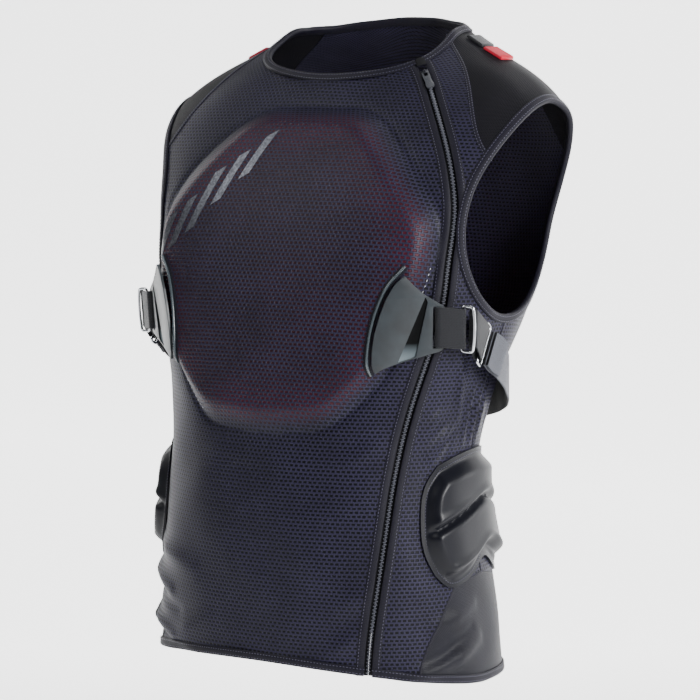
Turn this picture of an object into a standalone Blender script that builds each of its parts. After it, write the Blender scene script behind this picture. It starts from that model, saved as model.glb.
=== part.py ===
import math

import bmesh
import bpy
import numpy as np
from mathutils import Matrix, Vector
from mathutils.geometry import delaunay_2d_cdt

for item in list(bpy.data.objects):
    bpy.data.objects.remove(item, do_unlink=True)

PARTS = bpy.data.collections.new("body_protector_vest")
bpy.context.scene.collection.children.link(PARTS)

# Named sizes in metres. Z is up, the front of the vest faces minus Y and
# the wearer's left is plus X. The origin is the seat on the shoulders.
LENGTH = 0.62
HALF = 0.22
DEPTH = 0.13
CLOTH = 0.0016
SEAM = 0.00016
RAD = 0.19
PAD = 0.015
PAD_SLOPE = 0.028
FOOT = -0.008
# How much taller, wider, deeper and rounder than the size drawn below.
TALL = LENGTH / 0.62
WIDE = HALF / 0.22
DEEP = DEPTH / 0.13
GIRTH = RAD / 0.19

# Shares of LENGTH, HALF, DEPTH, DEPTH, then the squareness and the share
# of DEPTH by which the side line lies back.
SECTIONS = (
    (-1.129, 0.818, 0.977, 0.969, 2.25, -0.492),
    (-1.000, 0.809, 0.969, 0.954, 2.25, -0.508),
    (-0.839, 0.786, 0.946, 0.877, 2.20, -0.554),
    (-0.694, 0.741, 0.908, 0.662, 2.15, -0.569),
    (-0.548, 0.773, 0.875, 0.715, 2.25, -0.488),
    (-0.435, 0.845, 0.918, 0.885, 2.65, -0.346),
    (-0.323, 0.891, 0.915, 0.938, 2.95, -0.223),
    (-0.210, 0.968, 0.818, 0.892, 3.00, -0.108),
    (-0.145, 0.995, 0.715, 0.785, 2.80, -0.031),
    (-0.097, 0.927, 0.646, 0.700, 2.50, 0.046),
    (-0.048, 0.736, 0.585, 0.615, 2.20, 0.138),
    (-0.008, 0.514, 0.523, 0.538, 2.00, 0.192),
    (0.029, 0.382, 0.477, 0.477, 2.00, 0.215),
    (0.065, 0.327, 0.431, 0.431, 2.00, 0.231),
)


def spline(xs, ys):
    xs = np.array(xs, float)
    ys = np.array(ys, float)
    n = len(xs)
    h = np.diff(xs)
    a = np.zeros((n, n))
    b = np.zeros(n)
    a[0, 0] = 1
    a[-1, -1] = 1
    for i in range(1, n - 1):
        a[i, i - 1:i + 2] = h[i - 1], 2 * (h[i - 1] + h[i]), h[i]
        b[i] = 6 * ((ys[i + 1] - ys[i]) / h[i] - (ys[i] - ys[i - 1]) / h[i - 1])
    m = np.linalg.solve(a, b)

    def value(x):
        x = np.clip(np.asarray(x, float), xs[0], xs[-1])
        i = np.clip(np.searchsorted(xs, x) - 1, 0, n - 2)
        t0 = xs[i + 1] - x
        t1 = x - xs[i]
        return ((m[i] * t0 ** 3 + m[i + 1] * t1 ** 3) / (6 * h[i])
                + (ys[i] / h[i] - m[i] * h[i] / 6) * t0
                + (ys[i + 1] / h[i] - m[i + 1] * h[i] / 6) * t1)
    return value


TABLE = np.array(SECTIONS) * (LENGTH, HALF, DEPTH, DEPTH, 1, DEPTH)
CURVES = [spline(TABLE[:, 0], TABLE[:, k]) for k in range(1, 6)]


def base(s, z):
    """Point of the torso under the cloth at side distance s and height z."""
    t = np.asarray(s, float) / RAD
    z = np.asarray(z, float)
    wide, front, back, power, yc = [c(z) for c in CURVES]
    co = np.cos(t)
    si = np.sin(t)
    r = (np.abs(co) ** power + np.abs(si) ** power) ** (-1 / power)
    deep = np.where(co > 0, front, back)
    return np.stack([wide * si * r, yc - deep * co * r, z + 0 * t], -1)


def slopes(s, z):
    e = 2e-4
    return (base(s + e, z) - base(s - e, z)) / (2 * e), (base(s, z + e) - base(s, z - e)) / (2 * e)


def lift(s, z, off):
    s = np.asarray(s, float)
    z = np.asarray(z, float)
    ps, pz = slopes(s, z)
    n = np.cross(ps, pz)
    n = n / np.linalg.norm(n, axis=-1, keepdims=True)
    return base(s, z) + n * np.broadcast_to(np.asarray(off, float), s.shape)[..., None]


# The guard's outline as side distance and height.
GUARD = ((0.056, -0.074), (0.146, -0.178), (0.151, -0.226), (0.127, -0.322), (0.080, -0.366),
         (0.0, -0.372))


def rounded(points, reach):
    """Cuts each corner of a loop back by this reach with a small curve."""
    p = np.array(points, float)
    out = []
    for k in range(len(p)):
        before = p[k - 1] - p[k]
        after = p[(k + 1) % len(p)] - p[k]
        a = p[k] + before * min(reach / np.linalg.norm(before), 0.45)
        b = p[k] + after * min(reach / np.linalg.norm(after), 0.45)
        for u in (0.0, 0.33, 0.67, 1.0):
            out.append((1 - u) ** 2 * a + 2 * u * (1 - u) * p[k] + u * u * b)
    return np.array(out)


GUARD_LOOP = rounded(list(GUARD) + [(-x, z) for x, z in reversed(GUARD[:-1])], 0.024) * (GIRTH, TALL)


def inside_by(s, z, loop):
    """Distance to the loop, positive inside it."""
    p = np.stack(np.broadcast_arrays(s, z), -1)[..., None, :]
    a = loop
    b = np.roll(loop, -1, axis=0)
    ab = b - a
    u = np.clip(((p - a) * ab).sum(-1) / (ab ** 2).sum(-1), 0, 1)
    d = np.linalg.norm(p - a - ab * u[..., None], axis=-1).min(-1)
    over = (a[:, 1] > p[..., 1]) != (b[:, 1] > p[..., 1])
    cross = a[:, 0] + (p[..., 1] - a[:, 1]) * ab[:, 0] / np.where(ab[:, 1] == 0, 1e-12, ab[:, 1])
    odd = (over & (p[..., 0] < cross)).sum(-1) % 2 == 1
    return np.where(odd, d, -d)


def bump(s, z):
    """Height by which the guard lifts the cloth."""
    x = np.clip((inside_by(s, z, GUARD_LOOP) - FOOT) / PAD_SLOPE, 0, 1)
    return PAD * x * x * (3 - 2 * x)


# Seam and edge lines in side distance and height.
def deg(*pairs):
    return np.array([(RAD * math.radians(t), z * TALL) for t, z in pairs])


def hem_z(s):
    return -0.617 * TALL + 0.022 * np.clip(np.cos(np.asarray(s) / RAD), 0, 1) ** 1.5


def neck_z(s):
    c = np.cos(np.asarray(s) / RAD)
    return TALL * np.where(c > 0, 0.010 - 0.046 * np.abs(c) ** 1.8, 0.010 + 0.012 * c * c)


def arm_point(a):
    """Point of the armhole edge, a = 0 at the back, 90 at the top."""
    a = np.radians(np.asarray(a, float))
    z = TALL * (-0.163 + 0.100 * np.sin(a))
    y = DEEP * (-0.020 + 0.081 * np.cos(a) + 0.024 * np.sin(a))
    lo = np.full_like(y, 1e-3)
    hi = np.full_like(y, RAD * math.pi - 1e-3)
    for _ in range(44):
        mid = (lo + hi) / 2
        low = base(mid, z)[..., 1] < y
        lo = np.where(low, mid, lo)
        hi = np.where(low, hi, mid)
    return np.stack([(lo + hi) / 2, z], -1)


ZIP = ((37.0, -0.620), (37.3, -0.601), (42.0, -0.519), (47.3, -0.457), (50.6, -0.405), (52.1, -0.360),
       (52.6, -0.310), (51.6, -0.240), (50.3, -0.2125), (47.4, -0.166), (42.2, -0.129),
       (36.4, -0.092), (33.6, -0.055), (35.0, -0.020), (36.5, 0.010))
zip_s = spline([p[1] * TALL for p in ZIP], [RAD * math.radians(p[0]) for p in ZIP])

FRONT_JOIN = 152.6
BACK_JOIN = 27.4
YOKE = ((45.5, -0.092), (44.5, -0.068), (48.0, -0.042), (55.5, -0.020))


def smooth_line(points, n=48):
    """A natural spline through the points."""
    p = np.array(points, float)
    v = np.concatenate([[0], np.cumsum(np.linalg.norm(np.diff(p, axis=0), axis=1))])
    w = np.linspace(0, v[-1], n + 1)
    return np.stack([spline(v, p[:, 0])(w), spline(v, p[:, 1])(w)], -1)


def front_yoke():
    a = arm_point([FRONT_JOIN])[0]
    top = RAD * math.radians(66)
    return smooth_line([a] + list(deg(*YOKE)) + [(top, float(neck_z(top)))])


def back_yoke():
    a = arm_point([BACK_JOIN])[0]
    turned = deg(*[(180 - t, z) for t, z in YOKE])
    top = RAD * math.radians(114)
    return smooth_line([a] + list(turned) + [(top, float(neck_z(top)))])


ARM_LOW = arm_point([270.0])[0]
SIDE = np.concatenate([[ARM_LOW], deg((89, -0.30), (91, -0.36), (93, -0.43), (94, -0.511))])
GUSSET_FRONT = deg((74, -0.5185), (66, -0.546), (58, -0.580))
GUSSET_BACK = deg((114, -0.5185), (122, -0.546), (130, -0.580))


def hem_point(degrees):
    s = RAD * math.radians(degrees)
    return np.array([s, float(hem_z(s))])


HEM_FRONT = hem_point(53.4)
HEM_BACK = hem_point(136)


# Every edge and seam is sampled once, so the pieces on both sides of it
# share their corners.
def line(points, n):
    """Points along a line, n even steps or at these shares of its length."""
    p = np.array(points, float)
    q = base(p[:, 0], p[:, 1])
    run = np.concatenate([[0], np.cumsum(np.linalg.norm(np.diff(q, axis=0), axis=1))])
    w = run[-1] * (np.linspace(0, 1, n + 1) if np.isscalar(n) else np.array(n))
    return np.stack([np.interp(w, run, p[:, 0]), np.interp(w, run, p[:, 1])], -1)


def chain(*parts):
    out = [parts[0]]
    for p in parts[1:]:
        out.append(p[1:])
    return np.concatenate(out)


def row(low, high, n, height):
    share = np.linspace(0, 1, n + 1) if np.isscalar(n) else np.array(n)
    s = RAD * math.radians(low) + RAD * math.radians(high - low) * share
    return np.stack([s, height(s)], -1)


# Shares across the pieces, closer together near a bound edge.
ACROSS_YOKE = (0.0, 0.14, 0.38, 0.62, 0.86, 1.0)
HALF_BACK = (0.0, 0.035, 0.10, 0.18, 0.26, 0.34, 0.42)
ACROSS_BACK = HALF_BACK + (0.5,) + tuple(1 - x for x in reversed(HALF_BACK))
ACROSS_LEFT = (0.0, 0.30, 0.60, 0.87, 1.0)
ARM_FRONT = arm_point(np.linspace(270, FRONT_JOIN, 10))
ARM_TOP = arm_point(np.linspace(FRONT_JOIN, BACK_JOIN, 10))
ARM_BACK = arm_point(np.linspace(-90, BACK_JOIN, 10))
YOKE_FRONT = line(front_yoke(), ACROSS_YOKE)
YOKE_BACK = line(back_yoke(), ACROSS_YOKE)
SEAM_SIDE = line(smooth_line(SIDE[::-1], 40), 7)
RIDGE_FRONT = np.stack([GUSSET_FRONT[0], SEAM_SIDE[0]])
RIDGE_BACK = np.stack([GUSSET_BACK[0], SEAM_SIDE[0]])
LEG_FRONT = line(smooth_line(np.concatenate([[HEM_FRONT], GUSSET_FRONT[::-1]]), 24), 4)
LEG_BACK = line(smooth_line(np.concatenate([[HEM_BACK], GUSSET_BACK[::-1]]), 24), 4)
SIDE_FRONT = chain(LEG_FRONT, RIDGE_FRONT, SEAM_SIDE, ARM_FRONT, YOKE_FRONT)
SIDE_BACK = chain(LEG_BACK, RIDGE_BACK, SEAM_SIDE, ARM_BACK, YOKE_BACK)
KINDS = [SEAM] * 12 + [0.0012] * 9 + [SEAM] * 5

ZIP_TOP = 35.0
ZIP_FOOT = 37.3
NECK_FRONT = row(-66, ZIP_TOP, 10, neck_z)
NECK_LEFT = row(ZIP_TOP, 66, ACROSS_LEFT, neck_z)
NECK_YOKE = row(66, 114, 9, neck_z)
NECK_BACK = row(114, 246, ACROSS_BACK, neck_z)
HEM_MAIN = row(-53.4, ZIP_FOOT, 10, hem_z)
HEM_LEFT = row(ZIP_FOOT, 53.4, ACROSS_LEFT, hem_z)
HEM_GUSSET = row(53.4, 136, 5, hem_z)
HEM_REAR = row(136, 224, ACROSS_BACK, hem_z)


def zip_line(n):
    z = np.linspace(HEM_MAIN[-1, 1], NECK_FRONT[-1, 1], n + 1)
    s = zip_s(z)
    s[0] = HEM_MAIN[-1, 0]
    s[-1] = NECK_FRONT[-1, 0]
    return np.stack([s, z], -1)


def mirror(p):
    return p * np.array([-1.0, 1.0])


def move(points, step):
    """Shifts points of the sheet by a short true vector."""
    ps, pz = slopes(points[:, 0], points[:, 1])
    aa = (ps * ps).sum(-1)
    bb = (pz * pz).sum(-1)
    ab = (ps * pz).sum(-1)
    u = (step * ps).sum(-1)
    v = (step * pz).sum(-1)
    det = aa * bb - ab * ab
    return points + np.stack([(u * bb - v * ab) / det, (v * aa - u * ab) / det], -1)


def normals(points):
    ps, pz = slopes(points[:, 0], points[:, 1])
    n = np.cross(ps, pz)
    return n / np.linalg.norm(n, axis=1, keepdims=True)


def inset(loop, gaps):
    """Moves a closed loop inward, each of its segments by its own gap."""
    q = base(loop[:, 0], loop[:, 1])
    n = normals(loop)
    after = np.roll(q, -1, axis=0) - q
    before = q - np.roll(q, 1, axis=0)
    out = np.zeros_like(q)
    for k in range(len(q)):
        t1 = before[k] / np.linalg.norm(before[k])
        t2 = after[k] / np.linalg.norm(after[k])
        n1 = np.cross(n[k], t1)
        n2 = np.cross(n[k], t2)
        d1 = gaps[k - 1]
        d2 = gaps[k]
        turn = float(np.dot(t1, n2))
        if abs(turn) < 0.3:
            m = n1 + n2
            out[k] = m / np.linalg.norm(m) * max(d1, d2)
        else:
            out[k] = n1 * d1 + t1 * (d2 - d1 * float(np.dot(n1, n2))) / turn
    return move(loop, out)


def inset_sides(sides):
    """Sides as (points, gap or gaps), in order round the piece."""
    loop = []
    gaps = []
    for points, gap in sides:
        loop.extend(points[:-1])
        count = len(points) - 1
        gaps.extend([gap] * count if np.isscalar(gap) else list(gap))
    loop = inset(np.array(loop), gaps)
    out = []
    k = 0
    for points, _ in sides:
        count = len(points) - 1
        ids = [(k + i) % len(loop) for i in range(count + 1)]
        out.append(loop[ids])
        k += count
    return out


# Sheets in the cloth and solids from them.
def coons(left, right, bottom, top, across=None):
    nv = len(left) - 1
    nu = len(bottom) - 1
    u = (np.linspace(0, 1, nu + 1) if across is None else np.array(across))[None, :, None]
    v = np.linspace(0, 1, nv + 1)[:, None, None]
    flat = (1 - u) * left[:, None] + u * right[:, None]
    low = bottom - ((1 - u[0]) * bottom[0] + u[0] * bottom[-1])
    high = top - ((1 - u[0]) * top[0] + u[0] * top[-1])
    return flat + (1 - v) * low[None] + v * high[None]


def sheet_of(left, right, bottom, top, gaps, across=None):
    """Grid of a four sided piece with its edges set back by these gaps."""
    gl, gr, gb, gt = gaps
    back_l = gl if np.isscalar(gl) else gl[::-1]
    b, r, t, l = inset_sides([(bottom, gb), (right, gr), (top[::-1], gt), (left[::-1], back_l)])
    return coons(l[::-1], r, b, t[::-1], across)


def grid_faces(nv, nu):
    faces = []
    for j in range(nv - 1):
        for i in range(nu - 1):
            a = j * nu + i
            faces.append((a, a + 1, a + 1 + nu, a + nu))
    return faces


def triangles(faces):
    for f in faces:
        for k in range(1, len(f) - 1):
            yield f[0], f[k], f[k + 1]


def split(verts, faces):
    """Cuts every four sided face along its shorter diagonal."""
    out = []
    for f in faces:
        if len(f) != 4:
            out.append(f)
            continue
        a, b, c, d = f
        if np.linalg.norm(verts[a] - verts[c]) <= np.linalg.norm(verts[b] - verts[d]):
            out += [(a, b, c), (a, c, d)]
        else:
            out += [(a, b, d), (b, c, d)]
    return out


def make(name, verts, faces):
    verts = np.asarray(verts, float)
    faces = split(verts, faces)
    mesh = bpy.data.meshes.new(name)
    mesh.from_pydata([tuple(map(float, v)) for v in verts], [], faces)
    mesh.update()
    body = bpy.data.objects.new(name, mesh)
    PARTS.objects.link(body)
    volume = 0.0
    for tri in triangles(faces):
        a, b, c = [verts[k] for k in tri]
        volume += float(np.dot(a, np.cross(b, c)))
    if volume < 0:
        mesh.flip_normals()
    return body


def solid(name, outer, inner, faces):
    """Closes an outer and an inner sheet that share their faces."""
    outer = np.asarray(outer).reshape(-1, 3)
    inner = np.asarray(inner).reshape(-1, 3)
    n = len(outer)
    edges = set()
    for f in faces:
        for a, b in zip(f, f[1:] + f[:1]):
            edges.add((a, b))
    out = [tuple(f) for f in faces]
    out += [tuple(k + n for k in reversed(f)) for f in faces]
    for a, b in sorted(edges):
        if (b, a) not in edges:
            out.append((b, a, a + n, b + n))
    return make(name, np.concatenate([outer, inner]), out)


def tube(name, rings, closed=False):
    """Skins a row of rings that all have the same number of points."""
    rings = np.asarray(rings)
    m, k = rings.shape[:2]
    faces = []
    last = m if closed else m - 1
    for j in range(last):
        a = j * k
        b = ((j + 1) % m) * k
        for i in range(k):
            i2 = (i + 1) % k
            faces.append((a + i, a + i2, b + i2, b + i))
    if not closed:
        faces.append(tuple(reversed(range(k))))
        faces.append(tuple(range((m - 1) * k, m * k)))
    return make(name, rings.reshape(-1, 3), faces)


def cloth(name, grid, low=0.0, thick=CLOTH):
    s = grid[..., 0]
    z = grid[..., 1]
    f = bump(s, z) + low
    nv, nu = s.shape
    return solid(name, lift(s, z, f + thick), lift(s, z, f), grid_faces(nv, nu))


# The main front piece and the guard share one net of points, so that the
# cloth lies evenly over the guard.
CENTRE = np.array([0.0, -0.225 * TALL])
EDGE = np.concatenate([p[:-1] for p in inset_sides([
    (zip_line(14), 0.0040), (NECK_FRONT[::-1], 0.0012),
    (mirror(SIDE_FRONT)[::-1], KINDS[::-1]), (HEM_MAIN, 0.0012)])])


def level_ring(level, n=44):
    """Points all round the guard at this distance inside its outline."""
    a = np.linspace(0, 2 * math.pi, n, endpoint=False)
    far = CENTRE + LENGTH / 2 * np.stack([np.cos(a), np.sin(a)], -1)
    lo = np.zeros(n)
    hi = np.ones(n)
    for _ in range(36):
        mid = (lo + hi) / 2
        p = CENTRE + (far - CENTRE) * mid[:, None]
        deep = inside_by(p[:, 0], p[:, 1], GUARD_LOOP) > level
        lo = np.where(deep, mid, lo)
        hi = np.where(deep, hi, mid)
    return CENTRE + (far - CENTRE) * ((lo + hi) / 2)[:, None]


def spread(step):
    """Staggered points over the whole front."""
    out = []
    for j in range(int(1.065 * LENGTH / (step * 0.87))):
        for i in range(-12, 13):
            out.append(((i + (j % 2) / 2) * step, 0.02 - j * step * 0.87))
    return np.array(out)


def thin(points, others, gap):
    keep = []
    for p in points:
        near = min(float(np.linalg.norm(np.array(others) - p, axis=1).min()), 1.0)
        if near > gap:
            keep.append(p)
    return np.array(keep)


def thin_out(points, gap):
    """Drops points that lie this close to one kept before them."""
    keep = [points[0]]
    for p in points[1:]:
        if np.linalg.norm(np.array(keep) - p, axis=1).min() > gap:
            keep.append(p)
    return np.array(keep)


def net(points, loops):
    """Triangles between the points, inside the first loop, without the
    slivers that lie along its straight edges."""
    edges = []
    for loop in loops:
        edges += [(loop[k], loop[(k + 1) % len(loop)]) for k in range(len(loop))]
    got = delaunay_2d_cdt([Vector(p) for p in points], edges, [], 0, 1e-7)
    back = [ids[0] for ids in got[3]]
    rim = np.array([points[k] for k in loops[0]])
    faces = []
    for f in got[2]:
        ids = [back[k] for k in f]
        mid = np.mean([points[k] for k in ids], axis=0)
        if inside_by(mid[0], mid[1], rim) > SEAM / 10:
            a, b, c = [points[k] for k in ids]
            if (b[0] - a[0]) * (c[1] - a[1]) < (b[1] - a[1]) * (c[0] - a[0]):
                ids = ids[::-1]
            faces.append(tuple(ids))
    return faces


GRID = spread(0.034)
depth = inside_by(GRID[:, 0], GRID[:, 1], GUARD_LOOP)
TOP_RINGS = [level_ring(level) for level in (0.006, 0.013, 0.020)]
TOP_GRID = GRID[depth > 0.034]
LOW_RINGS = [level_ring(level) for level in (-0.001, FOOT)]

under_tape = inset(EDGE, [0.0105] * len(EDGE))
on_tape = [k for k in range(len(EDGE)) if k < 24 or 30 <= k <= 39 or k > 50]
fixed = np.concatenate([EDGE] + TOP_RINGS + LOW_RINGS + [TOP_GRID])
extra = thin(under_tape[on_tape], np.concatenate([EDGE] + LOW_RINGS), 0.0070)
outer = GRID[(depth < -0.020)]
outer = outer[inside_by(outer[:, 0], outer[:, 1], EDGE) > 0.014]
outer = thin(outer, extra, 0.014)
pts = np.concatenate([fixed, extra, outer])
loops = [list(range(len(EDGE)))]
start = len(EDGE)
for ring in TOP_RINGS + LOW_RINGS:
    loops.append(list(range(start, start + len(ring))))
    start += len(ring)
f = bump(pts[:, 0], pts[:, 1])
solid("front_panel", lift(pts[:, 0], pts[:, 1], f + CLOTH), lift(pts[:, 0], pts[:, 1], f), net(pts, loops))

pts = np.concatenate(LOW_RINGS[:1] + TOP_RINGS + [TOP_GRID])
loops = [list(range(44 * k, 44 * k + 44)) for k in range(4)]
f = bump(pts[:, 0], pts[:, 1])
solid("chest_guard", lift(pts[:, 0], pts[:, 1], f - 0.0005), lift(pts[:, 0], pts[:, 1], 0 * f),
      net(pts, loops))

# Left front, between the zip and the side.
edge = np.concatenate([p[:-1] for p in inset_sides([
    (HEM_LEFT, 0.0012), (SIDE_FRONT, KINDS), (NECK_LEFT[::-1], 0.0012), (zip_line(18)[::-1], 0.0040)])])


def inner_loop(gap):
    """The edge moved in, without the points that fall too near it."""
    p = inset(edge, [gap] * len(edge))
    return p[inside_by(p[:, 0], p[:, 1], edge) > 0.8 * gap]


near = inner_loop(0.0078)
deeper = thin(inner_loop(0.0190), near, 0.010)
pts = np.concatenate([edge, thin_out(near, 0.0055), thin_out(deeper, 0.016)])
f = bump(pts[:, 0], pts[:, 1])
solid("left_front_panel", lift(pts[:, 0], pts[:, 1], f + CLOTH), lift(pts[:, 0], pts[:, 1], f),
      net(pts, [list(range(len(edge)))]))

# Back, from the wearer's left round to the right.
far_side = mirror(SIDE_BACK) + np.array([2 * math.pi * RAD, 0])
cloth("back_panel", sheet_of(SIDE_BACK, far_side, HEM_REAR, NECK_BACK, (KINDS, KINDS, 0.0012, 0.0012),
                             ACROSS_BACK))

# Yokes over the shoulders.
grid = sheet_of(YOKE_FRONT, YOKE_BACK, ARM_TOP, NECK_YOKE, (SEAM, SEAM, 0.0012, 0.0012))
cloth("yoke_left", grid)
cloth("yoke_right", mirror(grid)[:, ::-1])

# Gussets at the side of the hem.
ridge = np.stack([RIDGE_FRONT[0], RIDGE_FRONT[0] * 0.5 + RIDGE_FRONT[1] * 0.5, RIDGE_FRONT[1],
                  RIDGE_BACK[1] * 0.67 + RIDGE_BACK[0] * 0.33, RIDGE_BACK[1] * 0.33 + RIDGE_BACK[0] * 0.67,
                  RIDGE_BACK[0]])
grid = sheet_of(LEG_FRONT, LEG_BACK, HEM_GUSSET, ridge, (SEAM, SEAM, 0.0012, SEAM))
cloth("side_gusset_left", grid)
cloth("side_gusset_right", mirror(grid)[:, ::-1])


# Bindings folded over the raw edges.
def binding(name, edge, inward, closed, wide=0.0085, turn=0.0003):
    """A U of tape along an edge, inward is +1 or -1 for its inner side."""
    if closed:
        nxt = np.roll(edge, -1, axis=0)
        prv = np.roll(edge, 1, axis=0)
    else:
        nxt = np.concatenate([edge[1:], edge[-1:]])
        prv = np.concatenate([edge[:1], edge[:-1]])
    tangent = base(nxt[:, 0], nxt[:, 1]) - base(prv[:, 0], prv[:, 1])
    aside = np.cross(normals(edge), tangent)
    aside *= inward / np.linalg.norm(aside, axis=1, keepdims=True)
    gap = 0.0011
    tape = 0.0008
    section = ((wide, CLOTH + gap), (wide, CLOTH + gap + tape), (0.0, CLOTH + gap + tape),
               (-turn, CLOTH / 2), (0.0, -gap - tape), (wide, -gap - tape), (wide, -gap),
               (0.0006, -gap), (0.0006, CLOTH + gap))
    rings = []
    for d, off in section:
        q = move(edge, aside * d)
        rings.append(lift(q[:, 0], q[:, 1], bump(q[:, 0], q[:, 1]) + off))
    return tube(name, np.stack(rings, 1), closed)


turn_s = np.array([2 * math.pi * RAD, 0])


def around(first, gusset, rear, last):
    """An edge from one side of the zip round the body to the other."""
    left = first.copy()
    right = last + turn_s
    step = 0.0024 / np.linalg.norm(slopes(left[:1, 0], left[:1, 1])[0])
    left[0, 0] += step
    right[-1, 0] -= step
    far = mirror(gusset)[::-1] + turn_s
    return chain(left, gusset, rear, far, right)


neck = around(NECK_LEFT, NECK_YOKE, NECK_BACK, NECK_FRONT)
neck[0, 1] = float(neck_z(neck[0, 0]))
binding("neck_binding", neck, -1, False)
binding("hem_binding", around(HEM_LEFT, HEM_GUSSET, HEM_REAR, HEM_MAIN), 1, False)
arm = chain(ARM_FRONT, ARM_TOP, ARM_BACK[::-1])[:-1]
binding("armhole_binding_left", arm, 1, True)
binding("armhole_binding_right", mirror(arm)[::-1], 1, True)


# Zip: two tapes behind the cloth, the coil, a slider and its pull tab.
def along_zip(low, high, n):
    z = np.linspace(low, high, n + 1)
    return np.stack([zip_s(z), z], -1)


def band(name, path, sides, offs):
    """A strip along a path between two side distances and two offsets."""
    nxt = np.concatenate([path[1:], path[-1:]])
    prv = np.concatenate([path[:1], path[:-1]])
    tangent = base(nxt[:, 0], nxt[:, 1]) - base(prv[:, 0], prv[:, 1])
    ps, pz = slopes(path[:, 0], path[:, 1])
    n = np.cross(ps, pz)
    n /= np.linalg.norm(n, axis=1, keepdims=True)
    aside = np.cross(tangent, n)
    aside /= np.linalg.norm(aside, axis=1, keepdims=True)
    rings = []
    for d, off in ((sides[0], offs[0]), (sides[1], offs[0]), (sides[1], offs[1]), (sides[0], offs[1])):
        q = move(path, aside * d)
        rings.append(lift(q[:, 0], q[:, 1], bump(q[:, 0], q[:, 1]) + off))
    return tube(name, np.stack(rings, 1))


SLIDER_Z = -0.0365 * TALL
ZIP_END = -0.590 * TALL
zip_path = along_zip(ZIP_END, SLIDER_Z + 0.0012, 17)
tape_path = chain(zip_path, along_zip(SLIDER_Z + 0.0012, SLIDER_Z + 0.0040, 1))
band("zip_tape_right", tape_path, (-0.0055, -0.0022), (-0.0031, -0.0023))
band("zip_tape_left", tape_path, (0.0022, 0.0055), (-0.0031, -0.0023))
coil_path = chain(along_zip(ZIP_END - 0.0095, ZIP_END, 1), zip_path)
band("zip_coil", coil_path, (-0.0017, 0.0017), (-0.0018, 0.0012))


def frame_at(s, z, up):
    """Origin, across, up and outward directions on the sheet."""
    s = np.array([s])
    z = np.array([z])
    p = lift(s, z, bump(s, z))[0]
    n = lift(s, z, bump(s, z) + 1.0)[0] - p
    v = np.array(up, float)
    v = v - n * np.dot(v, n)
    v /= np.linalg.norm(v)
    return p, np.cross(v, n), v, n


def box(name, frame, low, high):
    """A cuboid between two corners given across, up and outward."""
    o, u, v, n = frame
    size = np.array(high) - np.array(low)
    mid = (np.array(high) + np.array(low)) / 2
    turn = Matrix((u, v, n)).transposed().to_4x4()
    place = Matrix.Translation(Vector(o)) @ turn @ Matrix.Translation(Vector(mid))
    shape = bmesh.new()
    bmesh.ops.create_cube(shape, size=1.0, matrix=place @ Matrix.Diagonal((*size, 1.0)))
    mesh = bpy.data.meshes.new(name)
    shape.to_mesh(mesh)
    shape.free()
    body = bpy.data.objects.new(name, mesh)
    PARTS.objects.link(body)
    return body


def combine(target, tool, how):
    mod = target.modifiers.new("cut", "BOOLEAN")
    mod.operation = how
    mod.solver = "EXACT"
    mod.object = tool
    bpy.context.view_layer.objects.active = target
    bpy.ops.object.modifier_apply(modifier=mod.name)
    bpy.data.objects.remove(tool, do_unlink=True)


mm = 0.001
zs = float(zip_s(SLIDER_Z))
up = base(zip_s(SLIDER_Z + 0.004), SLIDER_Z + 0.004) - base(zip_s(SLIDER_Z - 0.004), SLIDER_Z - 0.004)
ZF = frame_at(zs, SLIDER_Z, up)
slider = box("zip_slider", ZF, (-3.6 * mm, -5.5 * mm, 2.2 * mm), (3.6 * mm, 4.5 * mm, 3.2 * mm))
pieces = (
    ((-3.6, -5.5, -4.6), (3.6, 4.5, -3.5)),
    ((-1.4, 2.4, -4.0), (1.4, 4.4, 2.6)),
    ((-1.2, -3.4, 3.0), (1.2, -2.3, 6.4)),
    ((-1.2, 0.9, 3.0), (1.2, 2.0, 6.4)),
    ((-1.2, -3.4, 5.9), (1.2, 2.0, 6.8)),
)
for low, high in pieces:
    tool = box("tool", ZF, np.array(low) * mm, np.array(high) * mm)
    combine(slider, tool, "UNION")


def slab(name, frame, outline, low, high):
    """A plate with this outline between two heights."""
    o, u, v, n = frame
    pts = np.array([o + u * a + v * b for a, b in outline])
    return tube(name, np.stack([pts + n * low, pts + n * high]))


tab = [(-3.3, 0.1), (3.3, 0.1), (3.6, -6.0), (3.3, -13.0), (4.2, -19.0), (3.2, -22.5), (-3.2, -22.5),
       (-4.2, -19.0), (-3.3, -13.0), (-3.6, -6.0)]
pull = slab("zip_pull", ZF, np.array(tab)[::-1] * mm, 3.7 * mm, 5.3 * mm)
tool = box("tool", ZF, np.array((-1.8, -6.2, 3.0)) * mm, np.array((1.8, -1.5, 6.0)) * mm)
combine(pull, tool, "DIFFERENCE")

top_z = float(neck_z(zip_s(-0.0215 * TALL)))
GF = frame_at(float(zip_s(top_z)), top_z - 0.0046, up)
slab("zip_guard", GF, np.array(((-4.5, -5.5), (4.5, -5.5), (4.5, 4.0), (2.5, 5.5), (-2.5, 5.5),
                                (-4.5, 4.0))) * mm, 3.9 * mm, 5.1 * mm)


# Hip pads: half of each outline, in degrees round from the pad's middle
# and heights.
HIP_MID = 97.0
HIP_SIDE = ((-33.0, -0.5070), (-36.5, -0.4850), (-36.8, -0.4550), (-34.5, -0.4220), (-29.0, -0.4035))
HIP_TOP = ((-29.0, -0.4035), (-20.0, -0.3960), (-9.0, -0.3915), (0.0, -0.3905))
HIP_LOW = ((-33.0, -0.5070), (-28.0, -0.5185), (-20.0, -0.5180), (-10.0, -0.5075), (0.0, -0.4965))
HIP_RISE = 0.0112
HIP_FLANGE = 0.0022


def both_ways(points):
    half = [(HIP_MID + t, z) for t, z in points]
    return deg(*(half + [(HIP_MID - t, z) for t, z in reversed(points[:-1])]))


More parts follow.
